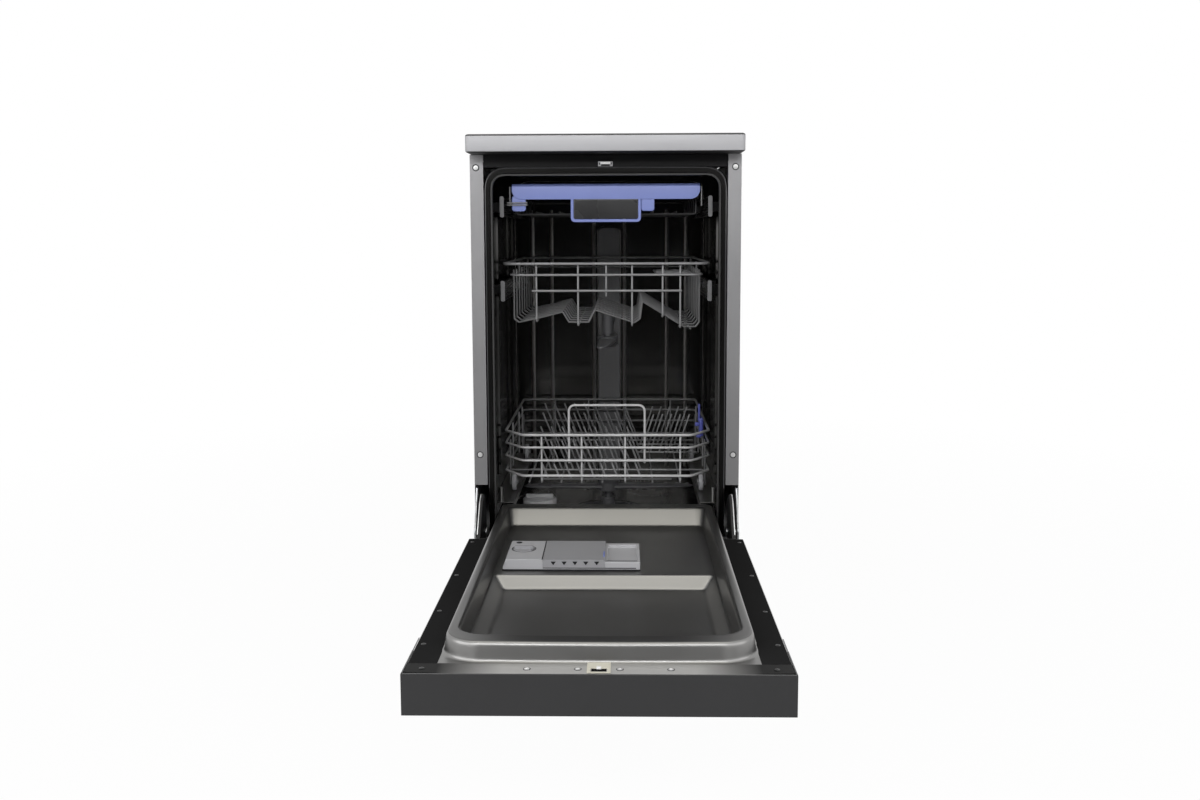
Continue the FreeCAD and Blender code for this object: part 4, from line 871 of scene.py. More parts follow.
lowerBasket = {
    "front": -190.0,
    "back": 218.0,
    "half": 180.5,
    "frontHalf": 147.0,
    "jog": 46.0,
    "bend": 14.0,
    "rims": ((342.0, 2.4), (270.0, 2.4), (320.0, 2.0), (297.0, 2.0)),  # height and wire radius
    "handle": (66.0, -185.55, 291.0, 394.0),  # half width, y, foot and top
    "handleBend": 12.0,
    "handleWire": 2.0,
    "thin": 1.6,
    "inset": 4.05,  # from the middle of a rim to that of the wire welded inside it
    "floor": 258.0,
    "seat": 1.65,
    "posts": (-114.0, -44.0, 32.0, 128.0),
    "runners": (-136.0, -80.0, -8.0, 80.0),
    "sidePosts": (-60.0, 60.0, 130.0),
    "cross": 3.25,
    "rows": ((-175.72, 28.0), (-100.24, 52.0), (-10.48, 62.0), (99.68, 70.0), (185.36, 76.0)),  # y and rise
    "tines": (-104.0, 20.5, 9, 0.4),  # first x, pitch, count and lean
    "spikes": (64.0, 17.5, 5, 0.33, 76.0, 140.48),  # the same, with rise and y
    "tineFoot": (0.5, 1.0),
    "tineTip": 2.3,
    "wheels": (-105.0, 165.0),
    "axleHeight": 240.3,
    "axle": ((0, 163.0), (4, 163.0), (5, 163.8), (5, 165.0), (3, 165.0), (3, 175.6)),
    "arm": (175.5, 178.0, 12.0, 235.3, 318.0),  # x from and to, half width, z from and to
}


# round wire carried round each rim, up the front posts and over the handle
def lowerRims(v):
    shapes = []
    half, frontHalf, jogY = v["half"], v["frontHalf"], v["front"] + v["jog"]
    for z, radius in v["rims"]:
        corners = [
            (-frontHalf, v["front"], z),
            (frontHalf, v["front"], z),
            (half, jogY, z),
            (half, v["back"], z),
            (-half, v["back"], z),
            (-half, jogY, z),
        ]
        shapes.append(wireTube(roundCorners(corners, v["bend"], True), radius, sides=12, closed=True))
    y = v["front"] + v["inset"]
    for x in v["posts"]:
        shapes.append(straightRod((x, y, v["floor"] + v["seat"]), (x, y, v["rims"][0][0]), v["thin"]))
    half, y, foot, top = v["handle"]
    loop = [(-half, y, foot), (-half, y, top), (half, y, top), (half, y, foot)]
    shapes.append(wireTube(roundCorners(loop, v["handleBend"]), v["handleWire"], (0, 1, 0), 12))
    return shapes


# straight rods: floor runners, posts and cross wires with rows of leaning tines, then the arms of the wheels
def lowerRods(v):
    thin, floor, top = v["thin"], v["floor"], v["rims"][0][0]
    nearY, farY, sideX = v["front"] + v["inset"], v["back"] - v["inset"], v["half"] - v["inset"]
    shapes = []
    for x in v["posts"] + v["runners"]:
        shapes.append(straightRod((x, nearY - thin, floor), (x, farY + thin, floor), thin))
    for x in v["posts"]:
        shapes.append(straightRod((x, farY, floor + v["seat"]), (x, farY, top), thin))
    for y in v["sidePosts"]:
        shapes += bothSides(straightRod((sideX, y, floor + v["seat"]), (sideX, y, top), thin))
    first, pitch, count, lean = v["tines"]
    shift, lift = v["tineFoot"]
    crossZ = floor + v["cross"]
    foot, tip = crossZ + lift, crossZ + v["tineTip"]
    for row, (y, rise) in enumerate(v["rows"]):
        reach = sideX - v["seat"] if row else pitch / 2 - first
        shapes.append(straightRod((-reach, y, crossZ), (reach, y, crossZ), thin))
        for i in range(count):
            x = first + i * pitch
            shapes.append(straightRod((x + shift, y, foot), (x - lean * rise, y, tip + rise), thin))
    first, pitch, count, lean, rise, y = v["spikes"]
    shapes.append(straightRod((first - pitch / 2, y, crossZ), (sideX - v["seat"], y, crossZ), thin))
    for i in range(count):
        x = first + i * pitch
        shapes.append(straightRod((x - shift, y, foot), (x + lean * rise, y, tip + rise), thin))
    inner, outer, wide, low, high = v["arm"]
    for y in v["wheels"]:
        shapes += bothSides(roundBox((inner, y - wide, low), (outer, y + wide, high), (1.0, 5.0, 5.0)))
        shapes += bothSides(turned(v["axle"], (0, y, v["axleHeight"]), (1, 0, 0), 24))
    return shapes


rims, rods = lowerRims(lowerBasket), lowerRods(lowerBasket)
newPiece("lower_rim_wires", rims, "rimWire", "lower_basket", ["lower_basket_rims"])
newPiece("lower_rod_wires", rods, "wire", "lower_basket", ["lower_basket_wires"])

foldingTines = {
    "y": 58.88,
    "z": 261.5,
    "run": (55.25, 173.8),
    "first": 64.0,
    "pitch": 17.5,
    "count": 5,
    "tip": (25.08, 76.0),
    "wire": 1.6,
}


# one rod along the row and a leaning rod for each tine
def tineRow(v):
    y, z = v["y"], v["z"]
    lean, rise = v["tip"]
    shapes = [straightRod((v["run"][0], y, z), (v["run"][1], y, z), v["wire"])]
    for i in range(v["count"]):
        x = v["first"] + i * v["pitch"]
        shapes.append(straightRod((x, y, z), (x + lean, y, z + rise), v["wire"]))
    return shapes


newPiece("folding_tine_row", tineRow(foldingTines), "wire", "tines", ["folding_tines"])

# tyre with a rounded tread, a dished web and a raised hub
basketWheel = {
    "inner": 166.0,
    "profile": (
        (3.3, 0.0), (6.5, 0.0), (7.0, 1.2), (12.0, 2.0), (12.6, 0.4), (15.2, 0.4), (16.0, 1.6),
        (16.0, 6.4), (15.2, 7.6), (12.6, 7.6), (12.0, 6.0), (7.0, 6.8), (6.5, 8.0), (3.3, 8.0), (3.3, 0.0),
    ),
}
for name, y in zip(("front", "rear"), lowerBasket["wheels"]):
    hub = (basketWheel["inner"], y, lowerBasket["axleHeight"])
    tyres = bothSides(turned(basketWheel["profile"], hub, (1, 0, 0), 48))
    body = name + "_wheels"
    newPiece(name + "_wheel_pair", tyres, "grey", body, ["lower_" + body])

upperBasket = {
    "front": -207.0,
    "back": 218.0,
    "rims": ((640.0, 175.0, 2.4), (621.0, 164.0, 2.0)),  # height, half width and wire radius
    "bend": 22.0,
    "thin": 1.6,
    "inset": 4.05,
    "waves": (-173.0, 51.0, 8),  # first y, pitch and count
    "outline": (
        (-160.35, 629.0), (-160.35, 544.0), (-152.35, 538.0), (-119.0, 545.0), (-76.0, 556.0), (-65.0, 538.0),
        (-31.0, 538.0), (-20.0, 559.0), (48.0, 537.0), (58.0, 544.0), (62.0, 574.0), (134.0, 530.0),
        (154.35, 530.0), (160.35, 538.0), (160.35, 629.0),
    ),
    "folds": (2.4, 2.4, 3.6, 3.0, 2.4, 2.4, 2.4, 2.4, 1.8, 1.8, 3.0, 2.4, 2.4),
    "rails": ((-48.0, 534.75), (145.0, 526.75)),
    "railEnd": 6.0,
    "bar": (-127.0, 129.0, 594.0),
    "barWire": 2.0,
    # x, drop below the bar and run back along the floor
    "posts": (
        (-119.0, 52.5, 36.0), (-48.0, 59.25, 24.0), (0.0, 10.0, 0.0),
        (44.0, 60.0, 36.0), (96.0, 45.0, 36.0), (126.0, 63.0, 36.0),
    ),
    "postBend": 4.0,
    "hooks": (166.05, 594.0, 637.4),
}


# round wire carried round a rectangle with rounded corners
def rackRim(z, half, front, back, bend, radius):
    corners = [(-half, front, z), (half, front, z), (half, back, z), (-half, back, z)]
    return wireTube(roundCorners(corners, bend, True, 8), radius, sides=12, closed=True)


# runner block in the rail and its arm up to the rack
runnerHook = {"places": (0.0, 178.0), "length": 20.0, "outer": 176.7, "halfHeight": 6.0, "arm": 2.5}


def runnerHooks(nearX, middle, top):
    shapes = []
    low, high = middle - runnerHook["halfHeight"], middle + runnerHook["halfHeight"]
    for y in runnerHook["places"]:
        far = y + runnerHook["length"]
        shapes += bothSides(roundBox((nearX, y, low), (runnerHook["outer"], far, high), 2.0))
        shapes += bothSides(roundBox((nearX, y, low), (nearX + runnerHook["arm"], far, top), 1.0))
    return shapes


# straight rods under the waves and along the front, and front posts that bend back under the floor
def upperRods(v):
    shapes = []
    first, pitch, count = v["waves"]
    thin, end = v["thin"], v["railEnd"]
    for x, z in v["rails"]:
        shapes.append(straightRod((x, first - end, z), (x, first + pitch * (count - 1) + end, z), thin))
    left, right, z = v["bar"]
    shapes.append(straightRod((left, v["front"], z), (right, v["front"], z), v["barWire"], 12))
    y = v["front"] + v["inset"]
    for x, drop, run in v["posts"]:
        leg = [(x, y, v["rims"][0][0]), (x, y, z - drop), (x, y + run, z - drop)]
        if run:
            shapes.append(wireTube(roundCorners(leg, v["postBend"]), thin, (1, 0, 0)))
        else:
            shapes.append(straightRod(*leg[:2], thin))
    return shapes + runnerHooks(*v["hooks"])


# the floor: one folded wire repeated from front to back
def upperWaves(v):
    first, pitch, count = v["waves"]
    shapes = []
    for i in range(count):
        line = [(x, first + i * pitch, z) for x, z in v["outline"]]
        shapes.append(wireTube(roundCorners(line, v["folds"]), v["thin"], (0, 1, 0)))
    return shapes


front, back, bend = upperBasket["front"], upperBasket["back"], upperBasket["bend"]
rims = [rackRim(z, half, front, back, bend, radius) for z, half, radius in upperBasket["rims"]]
newPiece("upper_rim_wires", rims, "wire", "upper_basket", ["upper_basket_rims"])
waves, rods = upperWaves(upperBasket), upperRods(upperBasket)
newPiece("upper_wave_wires", waves, "shadeWire", "upper_basket", ["upper_basket_floor"])
newPiece("upper_rod_wires", rods, "wire", "upper_basket", ["upper_basket_wires"])

cupShelf = {
    "hinge": 156.75,
    "free": 88.75,
    "z": 618.0,
    "run": (-150.0, 90.0),
    "overhang": 4.0,
    "bend": 10.0,
    "slats": 5,
    "wire": 1.6,
}


# hinge rod, a bent rim and straight slats at even steps between its ends
def shelfWires(v):
    y0, y1 = v["run"]
    hinge, free, z, wire, over = v["hinge"], v["free"], v["z"], v["wire"], v["overhang"]
    loop = [(hinge, y0, z), (free, y0, z), (free, y1, z), (hinge, y1, z)]
    shapes = [straightRod((hinge, y0 - over, z), (hinge, y1 + over, z), wire)]
    shapes.append(wireTube(roundCorners(loop, v["bend"]), wire))
    for i in range(v["slats"]):
        y = y0 + (y1 - y0) / (v["slats"] + 1) * (i + 1)
        shapes.append(straightRod((hinge, y, z), (free, y, z), wire))
    return shapes


newPiece("cup_shelf_wires", shelfWires(cupShelf), "wire", "shelf", ["cup_shelf"])

cutleryTray = {
    "half": 158.0,
    "front": -205.0,
    "back": 218.0,
    "rim": 752.0,
    "rimBend": 14.0,
    "rimWire": 2.0,
    "low": 724.0,
    "wire": 1.6,
    "hang": 3.65,
    "rise": 4.0,
    "loops": 7,
    "loopBend": 4.0,
    "loopEnds": (40.0, 24.0),
    "rods": 7,
    "rodPitch": 40.0,
    "rodEnds": (8.0, 16.0),
    "rodLift": 3.25,
    "hooks": (160.05, 736.0, 755.0),
    # wire ends that show beside the grip: start and end
    "ends": (
        ((-161.5, -211.0, 737.0), (-161.5, -211.0, 770.0)),
        ((-166.0, -217.3, 742.4), (-131.0, -217.3, 742.4)),
        ((-166.0, -217.3, 738.8), (-131.0, -217.3, 738.8)),
        ((160.5, -211.0, 736.0), (160.5, -211.0, 770.0)),
    ),
    "endWire": 1.1,
}


# a rim, hanging loops from front to back, and straight rods along the floor
def trayWires(v):
    shapes = [rackRim(v["rim"], v["half"], v["front"], v["back"], v["rimBend"], v["rimWire"])]
    hang = v["half"] - v["hang"]
    high, low, wire = v["rim"] + v["rise"], v["low"], v["wire"]
    first = v["front"] + v["loopEnds"][0]
    pitch = (v["back"] - v["loopEnds"][1] - first) / (v["loops"] - 1)
    for i in range(v["loops"]):
        y = first + i * pitch
        loop = [(-hang, y, high), (-hang, y, low), (hang, y, low), (hang, y, high)]
        shapes.append(wireTube(roundCorners(loop, v["loopBend"]), wire, (0, 1, 0)))
    near, far, z = first - v["rodEnds"][0], v["back"] - v["rodEnds"][1], low + v["rodLift"]
    for i in range(v["rods"]):
        x = v["rodPitch"] * (i - (v["rods"] - 1) / 2)
        shapes.append(straightRod((x, near, z), (x, far, z), wire))
    return shapes + runnerHooks(*v["hooks"])


newPiece("tray_wires", trayWires(cutleryTray), "shadedTrayWire", "cutlery_tray", ["tray_frame"])
ends = [straightRod(start, end, cutleryTray["endWire"]) for start, end in cutleryTray["ends"]]
newPiece("tray_end_wires", ends, "wire", "cutlery_tray")
print("racks")

trayGrip = {
    "half": 158.0,
    "corner": 16.0,
    "section": (
        (-216.0, 748.0), (-213.0, 748.0), (-213.0, 768.0), (-207.0, 771.0),
        (-194.0, 771.0), (-194.0, 774.0), (-210.0, 774.0), (-216.0, 770.0),
    ),
    "folds": (0.8, 0.8, 1.5, 2.0, 0.9, 0.9, 3.0, 2.4),
    "wall": (748.0, 768.0),  # the part of the section that the ends lift: foot and shoulder
    "loop": (59.0, 710.0, 749.0, 8.0),  # half width, foot, top and corner
    "loopDepth": (-213.0, -215.0, -215.7),
    "bar": 4.8,
    "edge": 0.7,
    "plate": ((-53.8, -215.0, 715.2), (53.8, -213.2, 748.3)),
    "tabs": ((-157.8, -135.0), (59.4, 81.4)),
    "tabDepth": (-214.0, -207.2),
    "tabHeight": (728.3, 754.0),
    "strip": ((-156.0, -207.5, 773.7), (156.0, -205.0, 774.3)),
}


# channel section carried along the width, its foot lifted along a quarter circle at each end
def gripBar(v):
    outline = roundCorners(np.array(v["section"]), v["folds"], True, 5)
    quarter = np.linspace(0, np.pi / 2, 9)[:-1]
    run = v["half"] - v["corner"] + v["corner"] * np.sin(quarter)
    x = np.concatenate([-run[::-1], run])
    rise = v["corner"] - v["corner"] * np.cos(quarter)
    lift = np.concatenate([rise[::-1], rise])[:, None]
    foot, wall = v["wall"]
    y = np.broadcast_to(outline[:, 0], (len(x), len(outline)))
    level = outline[:, 1]
    z = np.where(level < wall, wall - (wall - level) * (1 - lift / (wall - foot)), level)
    points = np.stack([np.broadcast_to(x[:, None], y.shape), y, z], -1)
    count = len(outline)
    ends = [range(count)[::-1], range((len(x) - 1) * count, len(x) * count)]
    return points.reshape(-1, 3), gridFaces(len(x), count, False, True), ends


# loop under the bar: a strip with rounded edges carried round a U
def gripLoop(v):
    half, foot, top, corner = v["loop"]
    back, shoulder, front = v["loopDepth"]
    wide, edge = v["bar"], v["edge"]
    depths = (back, shoulder, front, front, shoulder, back)
    rows = []
    for y, inset in zip(depths, (0.0, 0.0, edge, wide - edge, wide, wide)):
        side, low = half - inset, foot + inset
        corners = [(-side, top), (-side, low), (side, low), (side, top)]
        path = roundCorners(corners, corner - inset * 0.9, False, 8)
        rows.append(np.column_stack([path[:, 0], np.full(len(path), y), path[:, 1]]))
    size = len(rows), len(rows[0])
    return np.concatenate(rows), gridFaces(*size, True, False), rowEnds(*size)


grip = [gripBar(trayGrip), gripLoop(trayGrip)]
for tab in trayGrip["tabs"]:
    low, high = zip(tab, trayGrip["tabDepth"], trayGrip["tabHeight"])
    grip.append(roundBox(low, high, (4.0, 1.0, 4.0)))
newPiece("tray_grip", grip, "blue", "cutlery_tray", ["tray_handle"])
bare = roundBox(*trayGrip["plate"], (2.0, 0.4, 2.0))
newPiece("tray_grip_plate", [bare], "plate", "cutlery_tray")
strip = roundBox(*trayGrip["strip"], 0.25)
newPiece("tray_grip_strip", [strip], "black", "cutlery_tray")

sprayArm = {
    "reach": 165.0,
    "upperReach": 150.0,
    "grid": (41, 24),  # stations along the blade, points round it
    "halfWidth": (17.0, 7.5),  # at the hub, and how much less at the tip
    "halfHeight": (5.5, 2.4),
    "sweep": 4.0,
    "hub": (
        (7.3, -8.0), (18.5, -8.0), (20.0, -6.5), (20.0, 7.5),
        (18.8, 8.8), (13.0, 12.2), (11.5, 13.0), (0.0, 13.0),
    ),
    "collar": ((2.2, 0.0), (3.6, 0.0), (3.2, 1.2), (1.6, 1.2), (1.4, 0.4)),
    "nozzles": (60.0, 85.0, 110.0, 132.0, 152.0),
    "offset": (3.0, 2.0, 100.0),  # off the middle line, and how much more beyond a distance
    "deck": (5.2, 2.3),
    "lowerHub": (0, 0, 208.1),
    "upperHub": (0, 0, 489.5),
    "upperSwing": -93.0,
}


# hollow blade: an oval section whose half width and height shrink with distance from the hub
def sprayBlades(v, reach):
    stations, around = v["grid"]
    s = np.linspace(-1, 1, stations)
    narrow = np.clip(1 - np.abs(s) ** 8, 0, 1) ** 0.5
    wide = (v["halfWidth"][0] - v["halfWidth"][1] * np.abs(s)) * narrow
    thick = (v["halfHeight"][0] - v["halfHeight"][1] * np.abs(s)) * np.sqrt(narrow)
    turn = 2 * np.pi * np.arange(around) / around
    c, n = np.cos(turn), np.sin(turn)
    flatC = np.sign(c) * np.abs(c) ** 0.8
    x = np.broadcast_to((s * reach)[:, None], v["grid"])
    points = np.stack([x, wide[:, None] * flatC + v["sweep"] * s[:, None] ** 3, thick[:, None] * n], -1)
    shapes = [(points.reshape(-1, 3), gridFaces(*v["grid"], False, True), []), turned(v["hub"], (0, 0, 0))]
    near, more, beyond = v["offset"]
    deck, fall = v["deck"]
    for x in v["nozzles"]:
        for side in (-1, 1):
            y = side * (near + more * (x > beyond))
            place = (side * x * reach / v["reach"], y, deck - fall * x / v["reach"])
            shapes.append(turned(v["collar"], place, sides=14))
    return shapes


# turned over where flip is -1, then swung round the spindle by an angle in degrees
def placed(shapes, centre, flip=1, swing=0.0):
    c, n = math.cos(math.radians(swing)), math.sin(math.radians(swing))
    spin = np.array([(c, n, 0), (-n, c, 0), (0, 0, 1)])
    return [(points * (1, flip, flip) @ spin + centre, quads, ends) for points, quads, ends in shapes]


lowArm = placed(sprayBlades(sprayArm, sprayArm["reach"]), sprayArm["lowerHub"])
newPiece("lower_spray_blades", lowArm, "hub", "lower_arm", ["lower_spray_arm"])
highArm = sprayBlades(sprayArm, sprayArm["upperReach"])
highArm = placed(highArm, sprayArm["upperHub"], -1, sprayArm["upperSwing"])
newPiece("upper_spray_blades", highArm, "hub", "upper_arm", ["upper_spray_arm"])
print("spray arms")

# shares of a screw head's radius and rise
panScrew = {"recess": 0.55, "slot": 0.13, "dome": 0.45, "deep": 0.6, "edge": 0.96, "grid": (13, 48)}
panelScrews = {"x": (-213.0, 213.0), "y": -252.0, "z": (799.0, 320.0), "head": (4.0, 1.0), "seat": (4.1, 5.7)}
doorScrews = {
    "z": 200.5,
    "front": ((24.0, -873.0), (82.0, -873.0)),
    "edge": ((202.02, -873.0), (213.0, -799.5), (213.0, -683.0), (213.0, -533.0), (213.0, -363.0)),
    "turn": (0.8, 0.6, 0),
    "head": (3.2, 0.8),
    "seat": (3.3, 4.4),
}


# pan-head screw: a dome less a cross-shaped recess, on a polar grid
def screwHead(centre, out, across, radius, rise):
    rings, around = panScrew["grid"]
    r = np.concatenate([np.linspace(0, panScrew["edge"], rings), [1.0, 1.0]])[:, None]
    turn = 2 * np.pi * np.arange(around)[None, :] / around
    x = r * np.cos(turn)
    y = r * np.sin(turn)
    arm = np.minimum(np.abs(x), np.abs(y)) < panScrew["slot"]
    cross = arm & (r < panScrew["recess"])
    height = rise * (1 - panScrew["dome"] * r**2) - cross * rise * panScrew["deep"]
    height[-1] = -0.05
    out = np.asarray(out, float)
    across = np.asarray(across, float)
    over = np.cross(out, across)
    spread = radius * (x[..., None] * across + y[..., None] * over)
    points = np.asarray(centre) + spread + height[..., None] * out
    return points.reshape(-1, 3), gridFaces(len(r), around, False, True), []


# painted shadow in the seat of a screw: a thin flat dark ring round its head
def screwSeat(centre, out, inner, outer):
    section = [(inner, -0.1), (inner, 0.12), (outer, 0.12), (outer, -0.1), (inner, -0.1)]
    return turned(section, centre, out, 32)


forward, upward = (0, -1, 0), (0, 0, 1)
panelPlaces = [(x, panelScrews["y"], z) for x in panelScrews["x"] for z in panelScrews["z"]]
frontPlaces = [(side * x, y, doorScrews["z"]) for side in (-1, 1) for x, y in doorScrews["front"]]
edgePlaces = [(side * x, y, doorScrews["z"]) for side in (-1, 1) for x, y in doorScrews["edge"]]
heads = [screwHead(place, forward, (1, 0, 0), *panelScrews["head"]) for place in panelPlaces]
newPiece("panel_screw_heads", heads, "screw", "cabinet", ["panel_screws"], 30.0)
heads = [screwHead(place, upward, doorScrews["turn"], *doorScrews["head"]) for place in frontPlaces]
newPiece("door_screw_heads", heads, "screw", "door", ["door_screws"], 30.0)
heads = [screwHead(place, upward, doorScrews["turn"], *doorScrews["head"]) for place in edgePlaces]
newPiece("edge_screw_heads", heads, "darkScrew", "door", crease=30.0)
seats = [screwSeat(place, forward, *panelScrews["seat"]) for place in panelPlaces]
newPiece("panel_screw_seats", seats, "black", "cabinet")
seats = [screwSeat(place, upward, *doorScrews["seat"]) for place in frontPlaces]
newPiece("door_screw_seats", seats, "black", "door")

# a bright thin wire along the outer edge of each hinge arm: y and z of its corners
hingeLine = {
    "x": 209.0,
    "wire": 0.9,
    "bend": 8.0,
    "path": ((-262.0, 254.4), (-277.5, 258.0), (-297.8, 249.2), (-334.0, 204.6)),
}
path = roundCorners([(hingeLine["x"], y, z) for y, z in hingeLine["path"]], hingeLine["bend"])
straps = bothSides(wireTube(path, hingeLine["wire"], (1, 0, 0)))
newPiece("hinge_lines", straps, "screw", "door")

# cap of the salt container: a turned cup with a knurled skirt, radius less depth times a wave of the angle
saltCap = {
    "centre": (-134.0, 18.0),
    "profile": (
        (0.0, 170.4), (28.8, 170.4), (28.8, 162.5), (32.2, 162.5), (33.0, 163.3),
        (33.0, 177.4), (31.8, 179.0), (30.6, 179.38), (0.0, 179.38),
    ),
    "ridge": ((-161.0, 14.0, 178.6), (-107.0, 22.0, 187.3)),
    "knurls": (30, 0.7, 31.0),  # count, depth, and the radius from which they are cut
}


def knurledCap(v):
    profile = np.array(v["profile"])
    count, depth, inner = v["knurls"]
    turn = 2 * np.pi * np.arange(count * 6) / (count * 6)
    skirt = (profile[:, 0] > inner)[:, None] * depth * (0.5 - 0.5 * np.cos(count * turn))
    r = profile[:, :1] - skirt
    x, y = v["centre"]
    z = np.broadcast_to(profile[:, 1:], r.shape)
    points = np.stack([x + r * np.cos(turn), y + r * np.sin(turn), z], -1)
    return points.reshape(-1, 3), gridFaces(len(profile), len(turn), False, True), []


cap = [knurledCap(saltCap), roundBox(*saltCap["ridge"], (3.0, 3.0, 2.5))]
newPiece("salt_cap_knurled", cap, "cap", "salt_lid", ["salt_cap"])

# closed coil with straight hooks: a circle of wire carried round a helix
doorSpring = {
    "coil": 6.1,
    "wire": 0.85,
    "turns": 88,
    "grid": (14, 6),  # points in a turn and round the wire
    "x": 208.0,
    "z": 90.0,
    "run": (-140.0, 30.0),
    "hooks": ((-150.0, -138.0), (28.0, 40.0)),
    "hookWire": 1.6,
    # x, y and z of the lug behind each hook
    "lugs": (((204.0, -154.0, 60.05), (221.7, -148.0, 99.0)), ((204.0, 38.0, 60.05), (221.7, 44.0, 99.0))),
}


def coilSpring(v):
    steps, around = v["grid"]
    t = np.linspace(0, 1, v["turns"] * steps)
    turn = 2 * np.pi * v["turns"] * t
    start, end = v["run"]
    x, z = v["x"], v["z"]
    y = start + (end - start) * t
    centre = np.stack([x + v["coil"] * np.cos(turn), y, z + v["coil"] * np.sin(turn)], 1)
    out = np.stack([np.cos(turn), np.zeros_like(t), np.sin(turn)], 1)
    side = 2 * np.pi * np.arange(around) / around
    ring = out[:, None] * np.cos(side)[None, :, None] + np.array((0, 1.0, 0)) * np.sin(side)[None, :, None]
    points = centre[:, None] + ring * v["wire"]
    count = len(t)
    ends = [range(around), range((count - 1) * around, count * around)]
    shapes = [(points.reshape(-1, 3), gridFaces(count, around, False, True), ends)]
    for (near, far), lug in zip(v["hooks"], v["lugs"]):
        shapes.append(straightRod((x, near, z), (x, far, z), v["hookWire"]))
        shapes.append(roundBox(*lug, 1.5))
    return shapes


springs = [side for shape in coilSpring(doorSpring) for side in bothSides(shape)]
newPiece("door_spring_coils", springs, "zinc", "cabinet", ["door_springs"])

# a lipped hollow section carried round the mouth of the tub: inset and depth of its points
tubGasket = {
    "half": 190.9,
    "top": 789.9,
    "foot": 184.0,
    "corner": 26.9,
    "front": -249.7,
    "section": (
        (0.0, 9.0), (0.0, 3.0), (1.2, 0.2), (3.9, 0.2), (4.0, 2.6),
        (3.0, 5.2), (3.9, 7.6), (4.0, 10.6), (2.6, 11.6), (0.4, 11.4),
    ),
}


def gasketBand(v):
    rows = []
    for inset, depth in v["section"]:
        half, top = v["half"] - inset, v["top"] - inset
        arch = [(-half, v["foot"]), (-half, top), (half, top), (half, v["foot"])]
        path = roundCorners(arch, v["corner"] - inset, False, 12)
        rows.append(np.column_stack([path[:, 0], np.full(len(path), depth + v["front"]), path[:, 1]]))
    size = len(rows), len(rows[0])
    return np.concatenate(rows), gridFaces(*size, True, False), rowEnds(*size)


newPiece("tub_mouth_seal", [gasketBand(tubGasket)], "rubber", "cabinet", ["tub_gasket"])

# bead along the outer edge of the tub's front
mouthBead = {"half": 198.2, "top": 798.2, "foot": 262.0, "corner": 38.0, "y": -250.6, "wire": 0.9}
half, top, y = mouthBead["half"], mouthBead["top"], mouthBead["y"]
arch = [(-half, y, mouthBead["foot"]), (-half, y, top), (half, y, top), (half, y, mouthBead["foot"])]
bead = wireTube(roundCorners(arch, mouthBead["corner"], False, 12), mouthBead["wire"], (0, 1, 0))
newPiece("tub_mouth_bead", [bead], "bead", "cabinet")

# strike: a plate with two dark slots, a pale loop that stands out from its upper half, and a dark strip under
# the loop that is painted shadow
doorStrike = {
    "plate": ((-12.0, -251.9, 800.5), (12.0, -250.75, 808.5)),
    "bar": ((-8.0, -259.7, 803.8), (8.0, -257.7, 807.3)),
    "leg": ((6.0, -258.2, 803.8), (8.0, -251.7, 807.3)),
    "slot": ((9.0, -252.1, 803.0), (10.6, -251.6, 806.6)),
    "shade": ((-7.2, -252.1, 800.9), (7.2, -251.6, 803.2)),
}
plate = roundBox(*doorStrike["plate"], 0.4)
newPiece("strike_plate", [plate], "grey", "cabinet", ["door_strike"])
loop = [roundBox(*doorStrike["bar"], 0.6)] + bothSides(roundBox(*doorStrike["leg"], 0.5))
newPiece("strike_loop", loop, "tongue", "cabinet")
marks = [roundBox(*doorStrike["shade"], 0.2)] + bothSides(roundBox(*doorStrike["slot"], 0.2))
newPiece("strike_slots_and_shadow", marks, "black", "cabinet")

# blue clip on the basket's side wire: body, upright prong, hook for the folded tines and foot, each two
# corners and a rounding
tineClip = (
    ((168.5, -75.0, 318.0), (176.0, -47.0, 352.0), 2.0),
    ((166.5, -75.0, 346.0), (170.5, -66.0, 378.0), 1.4),
    ((160.5, -75.5, 337.0), (170.0, -69.0, 344.0), 1.8),
    ((163.5, -75.0, 315.5), (172.0, -67.0, 321.0), 1.6),
)
blocks = [roundBox(*block) for block in tineClip]
newPiece("tine_clip_hook", blocks, "clip", "lower_basket", ["tine_clip"])

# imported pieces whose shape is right, with narrow rounded edges: node, finish, edge in mm
for node, finish, width in (
    ("control_panel", "fascia", 1.0),
    ("door_outer_panel", "panel", 0.4),
    ("dispenser_body", "dispenser", 0.8),
    ("dispenser_lid", "lid", 0.7),
    ("rinse_aid_cap", "lid", 0.7),
    ("door_latch", "latch", 0.4),
    ("hinge_arms", "black", 0.6),
    ("hinge_brackets", "zinc", 0.4),
    ("lower_basket_tracks", "track", 0.4),
    ("rail_guides", "black", 0.8),
    ("tray_rails", "rail", 0.3),
    ("upper_rails", "rail", 0.3),
    ("filter_cylinder", "hub", 0.4),
    ("upper_feed_pipe", "hub", 0.6),
    ("feed_duct", "duct", 1.2),
    ("side_panel_left", "side", 0.35),
    ("side_panel_right", "side", 0.35),
    ("kick_plate", "darkPaint", 0.5),
    ("front_crossbar", "darkPaint", 0.4),
    ("base_tray", "black", 1.0),
    ("foot_front_left", "black", 0.6),
    ("foot_front_right", "black", 0.6),
    ("counterweight", "iron", 1.5),
    ("wash_pump", "black", 1.2),
    ("drain_pump", "black", 0.8),
    ("water_softener", "grey", 1.0),
    ("inlet_valve", "grey", 0.8),
    ("button_power", "button", 0.5),
    ("button_program", "button", 0.5),
    ("button_start", "button", 0.5),
    ("door_bottom_seal", "rubber", 0.8),
    ("sump", "hub", 0.6),
    ("tub", "tub", 1.6),
    ("tub_floor", "tubFloor", 0.0),
):
    softened(node, finish, width)
